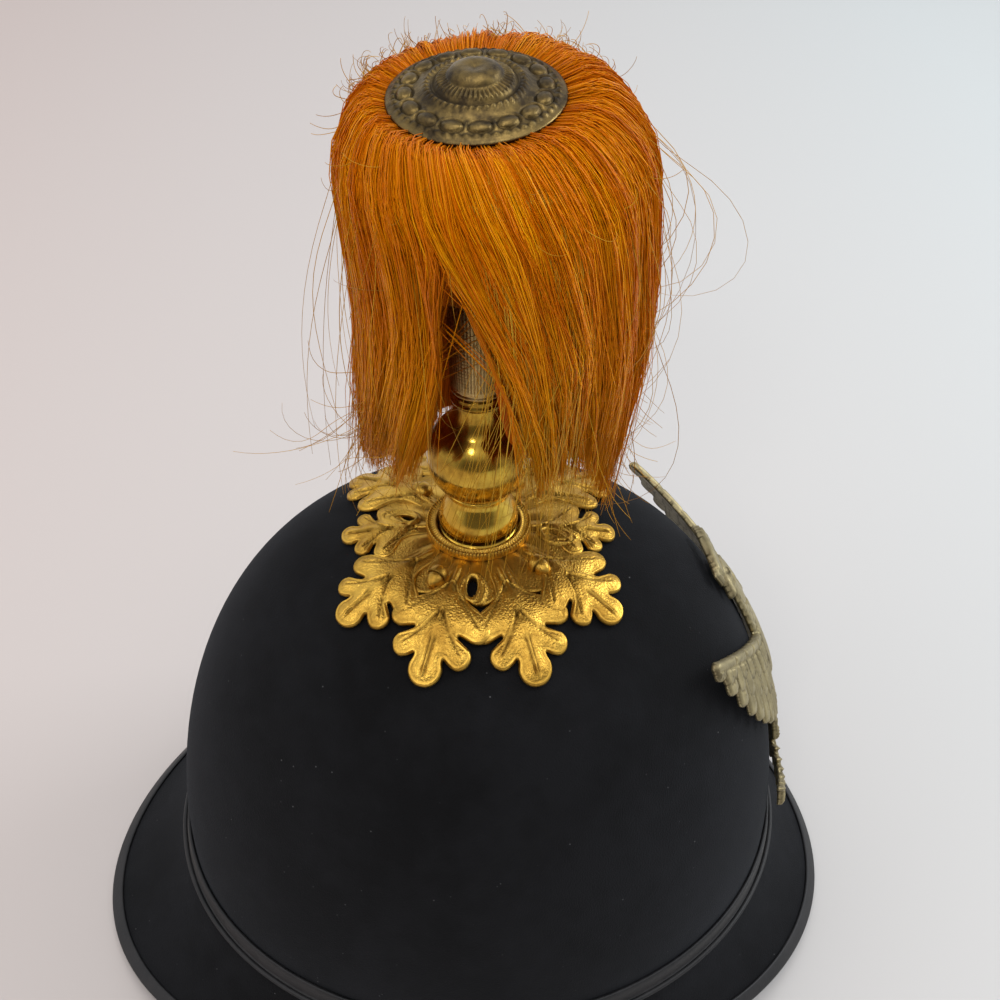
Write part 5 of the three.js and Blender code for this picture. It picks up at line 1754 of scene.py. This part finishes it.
def lay_body(relief):
    """Thighs, breast with rows of small feathers, and a shield with upright bars."""
    x, y = relief.x, relief.y
    for side in (-1, 1):
        relief.feather((side * 6, 44), (side * 9.5, 27), 5.0, 2.2, 0.7)
        for spread in (-2.5, 0, 2.5):
            relief.feather((side * 10, 27), (side * 11 + spread, 20.5), 1.3, 0.8, 1.1, 0.5)
    width = np.interp(y, BREAST_HEIGHTS, BREAST_WIDTHS)
    depth = np.minimum(width - np.abs(x), np.minimum(y - BREAST["foot"], BREAST["top"] - y))
    row = np.floor(y / SCALE_PITCH)
    scale = np.hypot((x / SCALE_PITCH + 0.5 * (row % 2)) % 1 - 0.5, 0.8 * (y / SCALE_PITCH - row) - 0.35)
    relief.lay(depth, 0.7, 1.6, 6.0, 0.3 * (1 - smoothstep(scale, 0.25, 0.52)), 0.6)
    # The edges of the breast's scales are hollow: partly tarnish and partly painted shade.
    scaled = np.maximum(relief.hollow, ridge(scale, *SCALE_EDGE))
    relief.hollow = np.where(depth > 0, scaled, relief.hollow)
    width = np.interp(y, SHIELD_HEIGHTS, SHIELD_WIDTHS)
    below_top = SHIELD["top"] - y - SHIELD["hollow_top"] * x**2
    depth = np.minimum(width - np.abs(x), np.minimum(below_top, y - SHIELD["foot"]))
    bars = np.where(y < SHIELD["plain_above"], 0.3 * np.cos(2 * math.pi * x / SHIELD["bar_pitch"]), 0.15)
    relief.lay(depth, 1.6, 1.0, 2.0, bars * (depth > SHIELD["margin"]) + ridge(depth, *SHIELD_BORDER))


def lay_head(relief):
    """Neck, head turned to the wearer's right, hooked beak and eye."""
    relief.feather((1, 96), (-2, 106), 7.6, 6.4, 1.0, 1.2)
    relief.lay_bar((-2.5, 110), (-4.5, 110.5), (6.0, 5.2), 1.5, 1.2, 3.0)
    relief.feather((-9, 111.5), (-13.2, 108.0), 2.4, 0.9, 1.4, 0.9)
    relief.lay_bar((-5.6, 112), (-5.5, 112), (1.0, 1.0), 2.7, 0.4, 0.5, line=1.0)


def lay_ribbon(relief):
    """Plain ribbon in a low arch, with a rolled border and a fold near each end."""
    across = np.abs(relief.x)
    middle = RIBBON["top"] - relief.x**2 / RIBBON["arch"]
    depth = np.minimum(RIBBON["half_height"] - np.abs(relief.y - middle), RIBBON["half_length"] - across)
    fold = RIBBON["fold_height"] * np.sign(RIBBON["fold"] - across)
    relief.lay(depth, 0.8, 0.6, 1.2, ridge(depth, *RIBBON_BORDER) + fold)


print("scales", SCALE_PITCH, "mm apart")

# %% [markdown]
# The plate is all those shapes together, cut out of its grid, with a margin that is rolled down a little.
# Two round posts on its back reach to the felt.

# %% Plate and its posts
PLATE_HALF, PLATE_LOW, PLATE_HIGH = 59, -4, 127
PLATE_COLUMNS, PLATE_ROWS = 203, 225  # of the grid, about 0.58 mm apart
ROLLED_DOWN, ROLLED_UP = (-0.55, 0, 0.5), (0.25, 0.8, 0.4)
POSTS = {"radius": 1.5, "heights": (96, 22), "gap": 0.3}


def front_plate():
    """Shapes laid from the back to the front, then cut out of the sheet."""
    along_x = np.linspace(-PLATE_HALF, PLATE_HALF, PLATE_COLUMNS)
    along_y = np.linspace(PLATE_LOW, PLATE_HIGH, PLATE_ROWS)
    x, y = np.meshgrid(along_x, along_y, indexing="ij")
    relief = Relief(x, y)
    lay_tail(relief)
    for lay_pair in (lay_branch, lay_wing):
        for side in (1, -1):
            lay_pair(relief, side)
    for lay_single in (lay_ribbon, lay_body, lay_head):
        lay_single(relief)
    upper = relief.height + (ridge(relief.inside, *ROLLED_DOWN) + ridge(relief.inside, *ROLLED_UP))
    masks = {"hollow": relief.hollow, "matt": np.full(x.shape, 0.7)}
    return cut_sheet(x, y, relief.inside, upper, np.zeros(x.shape), plate_point, masks)


def plate_post(height):
    """Round post from the back of the plate to the felt, on the plate's own middle line."""
    back = plate_point(np.array(0.0), np.array(float(height)), np.array(PLATE["sheet"] / 2))
    turn = math.radians(PLATE["turn"])
    inwards = np.array([-math.sin(turn), math.cos(turn), 0])
    rise = (back[2] - POSTS["radius"] - CROWN["foot"]) / (CROWN["top"] - CROWN["foot"])
    oval = math.hypot(math.sin(turn) / CROWN["half_width"], math.cos(turn) / CROWN["half_length"])
    wall = (1 - rise ** CROWN["fall"]) ** (1 / CROWN["squareness"]) / oval
    length = math.hypot(back[0], back[1]) - wall - POSTS["gap"]
    profile = np.array([[0, 0], [POSTS["radius"], 0], [POSTS["radius"], length], [0, length]])
    points, quads = turned_about(back, inwards, profile, 20)
    # The post behind the plate is partly hollow: painted shade.
    return points, quads, NO_FACES, {"hollow": np.full(len(points), 0.4), "matt": np.zeros(len(points))}


plate_parts = [front_plate()] + [plate_post(height) for height in POSTS["heights"]]
make_piece("eagle_plate", plate_parts, DULL_FINISH, ["front_plate"], weld=0.003)

# %% [markdown]
# The camera stands at the wearer's right, higher than the plume, and looks down by 41 degrees, so it sees
# the front plate edge-on. Its place is given from the spike as the rest is. Only the floor is behind.

# %% Camera
EYE = placed([-298.0, 16.9, 457.3])
LOOK = np.array([0.9968, -0.0795])
PITCH = math.radians(41.03)
ROLL = math.radians(0.57)
FOCAL_LENGTH, SENSOR_WIDTH = 45, 36


def camera_axes():
    """Right, up and back of the camera: the level look tipped down by the pitch, then turned by the roll."""
    ahead = unit(np.array([LOOK[0] * math.cos(PITCH), LOOK[1] * math.cos(PITCH), -math.sin(PITCH)]))
    right = unit(np.cross(ahead, [0, 0, 1.0]))
    up = np.cross(right, ahead)
    rolled = right * math.cos(ROLL) + up * math.sin(ROLL)
    return rolled, up * math.cos(ROLL) - right * math.sin(ROLL), -ahead


camera = bpy.data.objects.new("camera", bpy.data.cameras.new("camera"))
camera.data.lens = FOCAL_LENGTH
camera.data.sensor_width = SENSOR_WIDTH
camera.data.clip_start = 0.01
axes = np.eye(4)
axes[:3, :3] = np.transpose(camera_axes())
axes[:3, 3] = EYE
camera.matrix_world = Matrix(axes.tolist())
bpy.context.scene.collection.objects.link(camera)
bpy.context.scene.camera = camera
print("the camera stands at", EYE.round(3), "m")

# %% [markdown]
# The helmet stands on a large pale floor, whose colour runs from warm at the rear to cool at the front:
# painted warm light from the rear and cool light from the front.

# %% Floor
FLOOR_HALF = 3.0
# Painted warm and cool light across the floor.
WARM_LIGHT_ON_FLOOR, COOL_LIGHT_ON_FLOOR = colour(0.525, 0.435, 0.405), colour(0.54, 0.56, 0.56)


def floor_finish():
    """Two pale tones, blended over the metre in the middle."""
    made, tree, shader = material("pale_floor", Roughness=0.7)
    place = node(tree, "ShaderNodeTexCoord").outputs["Object"]
    lengthwise = node(tree, "ShaderNodeSeparateXYZ", {0: place}).outputs["Y"]
    link(tree, mixed(tree, ranged(tree, lengthwise, 0.5, -0.5), WARM_LIGHT_ON_FLOOR, COOL_LIGHT_ON_FLOOR), shader, "Base Color")
    return made


floor_mesh = bpy.data.meshes.new("floor")
corners = [(x * FLOOR_HALF, y * FLOOR_HALF, 0) for x, y in ((-1, -1), (1, -1), (1, 1), (-1, 1))]
floor_mesh.from_pydata(corners, [], [(0, 1, 2, 3)])
floor = bpy.data.objects.new("floor", floor_mesh)
floor_mesh.materials.append(floor_finish())
bpy.context.scene.collection.objects.link(floor)
print("the floor is", 2 * FLOOR_HALF, "m wide")

# %% [markdown]
# Soft light comes from large panels: a broad one overhead, a warm one at the rear and a cool one at the
# front, with a small lamp beside the camera. The world adds an even fill. The polished brass mirrors it, so
# its side behind the camera is darker, as a room is.

# %% Lights and world
# Each light: name, place and aim in metres, width and height, power in watts, and colour.
LIGHTS = [
    ("overhead", (-0.2, 0.0, 1.9), (0, 0, 0.15), (1.3, 1.3), 11, (1.0, 0.985, 0.96)),
    ("rear_warm", (-0.5, 1.6, 1.1), (0, 0, 0.2), (1.0, 0.8), 3, (1.0, 0.88, 0.8)),
    ("front_cool", (0.3, -1.7, 1.2), (0, 0, 0.2), (1.0, 0.9), 18, (0.9, 0.96, 1.0)),
    ("side_lamp", (-1.55, 0.62, 1.6), (0, 0, 0.25), (0.34, 0.34), 5, (1.0, 0.97, 0.92)),
]
PALE_ROOM, DARK_ROOM = colour(0.95, 0.97, 1.0), colour(0.16, 0.15, 0.15)
ROOM_LIGHT = 0.9


def panel(name, place, aim, size, power, tint):
    """Area light at a place, turned to face its aim."""
    light = bpy.data.lights.new(name, "AREA")
    light.shape = "RECTANGLE"
    light.size, light.size_y = size
    light.energy = power
    light.color = tint
    made = bpy.data.objects.new(name, light)
    direction = Vector(aim) - Vector(place)
    made.location = place
    made.rotation_euler = direction.to_track_quat("-Z", "Y").to_euler()
    bpy.context.scene.collection.objects.link(made)


def room(tree):
    """Colour of the world: an even pale room whose side behind the camera is darker below the lamps."""
    way = node(tree, "ShaderNodeSeparateXYZ", {0: node(tree, "ShaderNodeTexCoord").outputs["Generated"]})
    behind = ranged(tree, way.outputs["X"], -0.35, -0.8)
    low = ranged(tree, way.outputs["Z"], 0.62, 0.3)
    return mixed(tree, maths(tree, "MULTIPLY", behind, low), PALE_ROOM, DARK_ROOM)


for light in LIGHTS:
    panel(*light)
world = bpy.data.worlds.new("studio")
world.use_nodes = True
backdrop = world.node_tree.nodes["Background"]
backdrop.inputs["Strength"].default_value = ROOM_LIGHT
link(world.node_tree, room(world.node_tree), backdrop, "Color")
bpy.context.scene.world = world
bpy.context.scene.view_settings.view_transform = "Standard"
print("lights:", ", ".join(light[0] for light in LIGHTS))
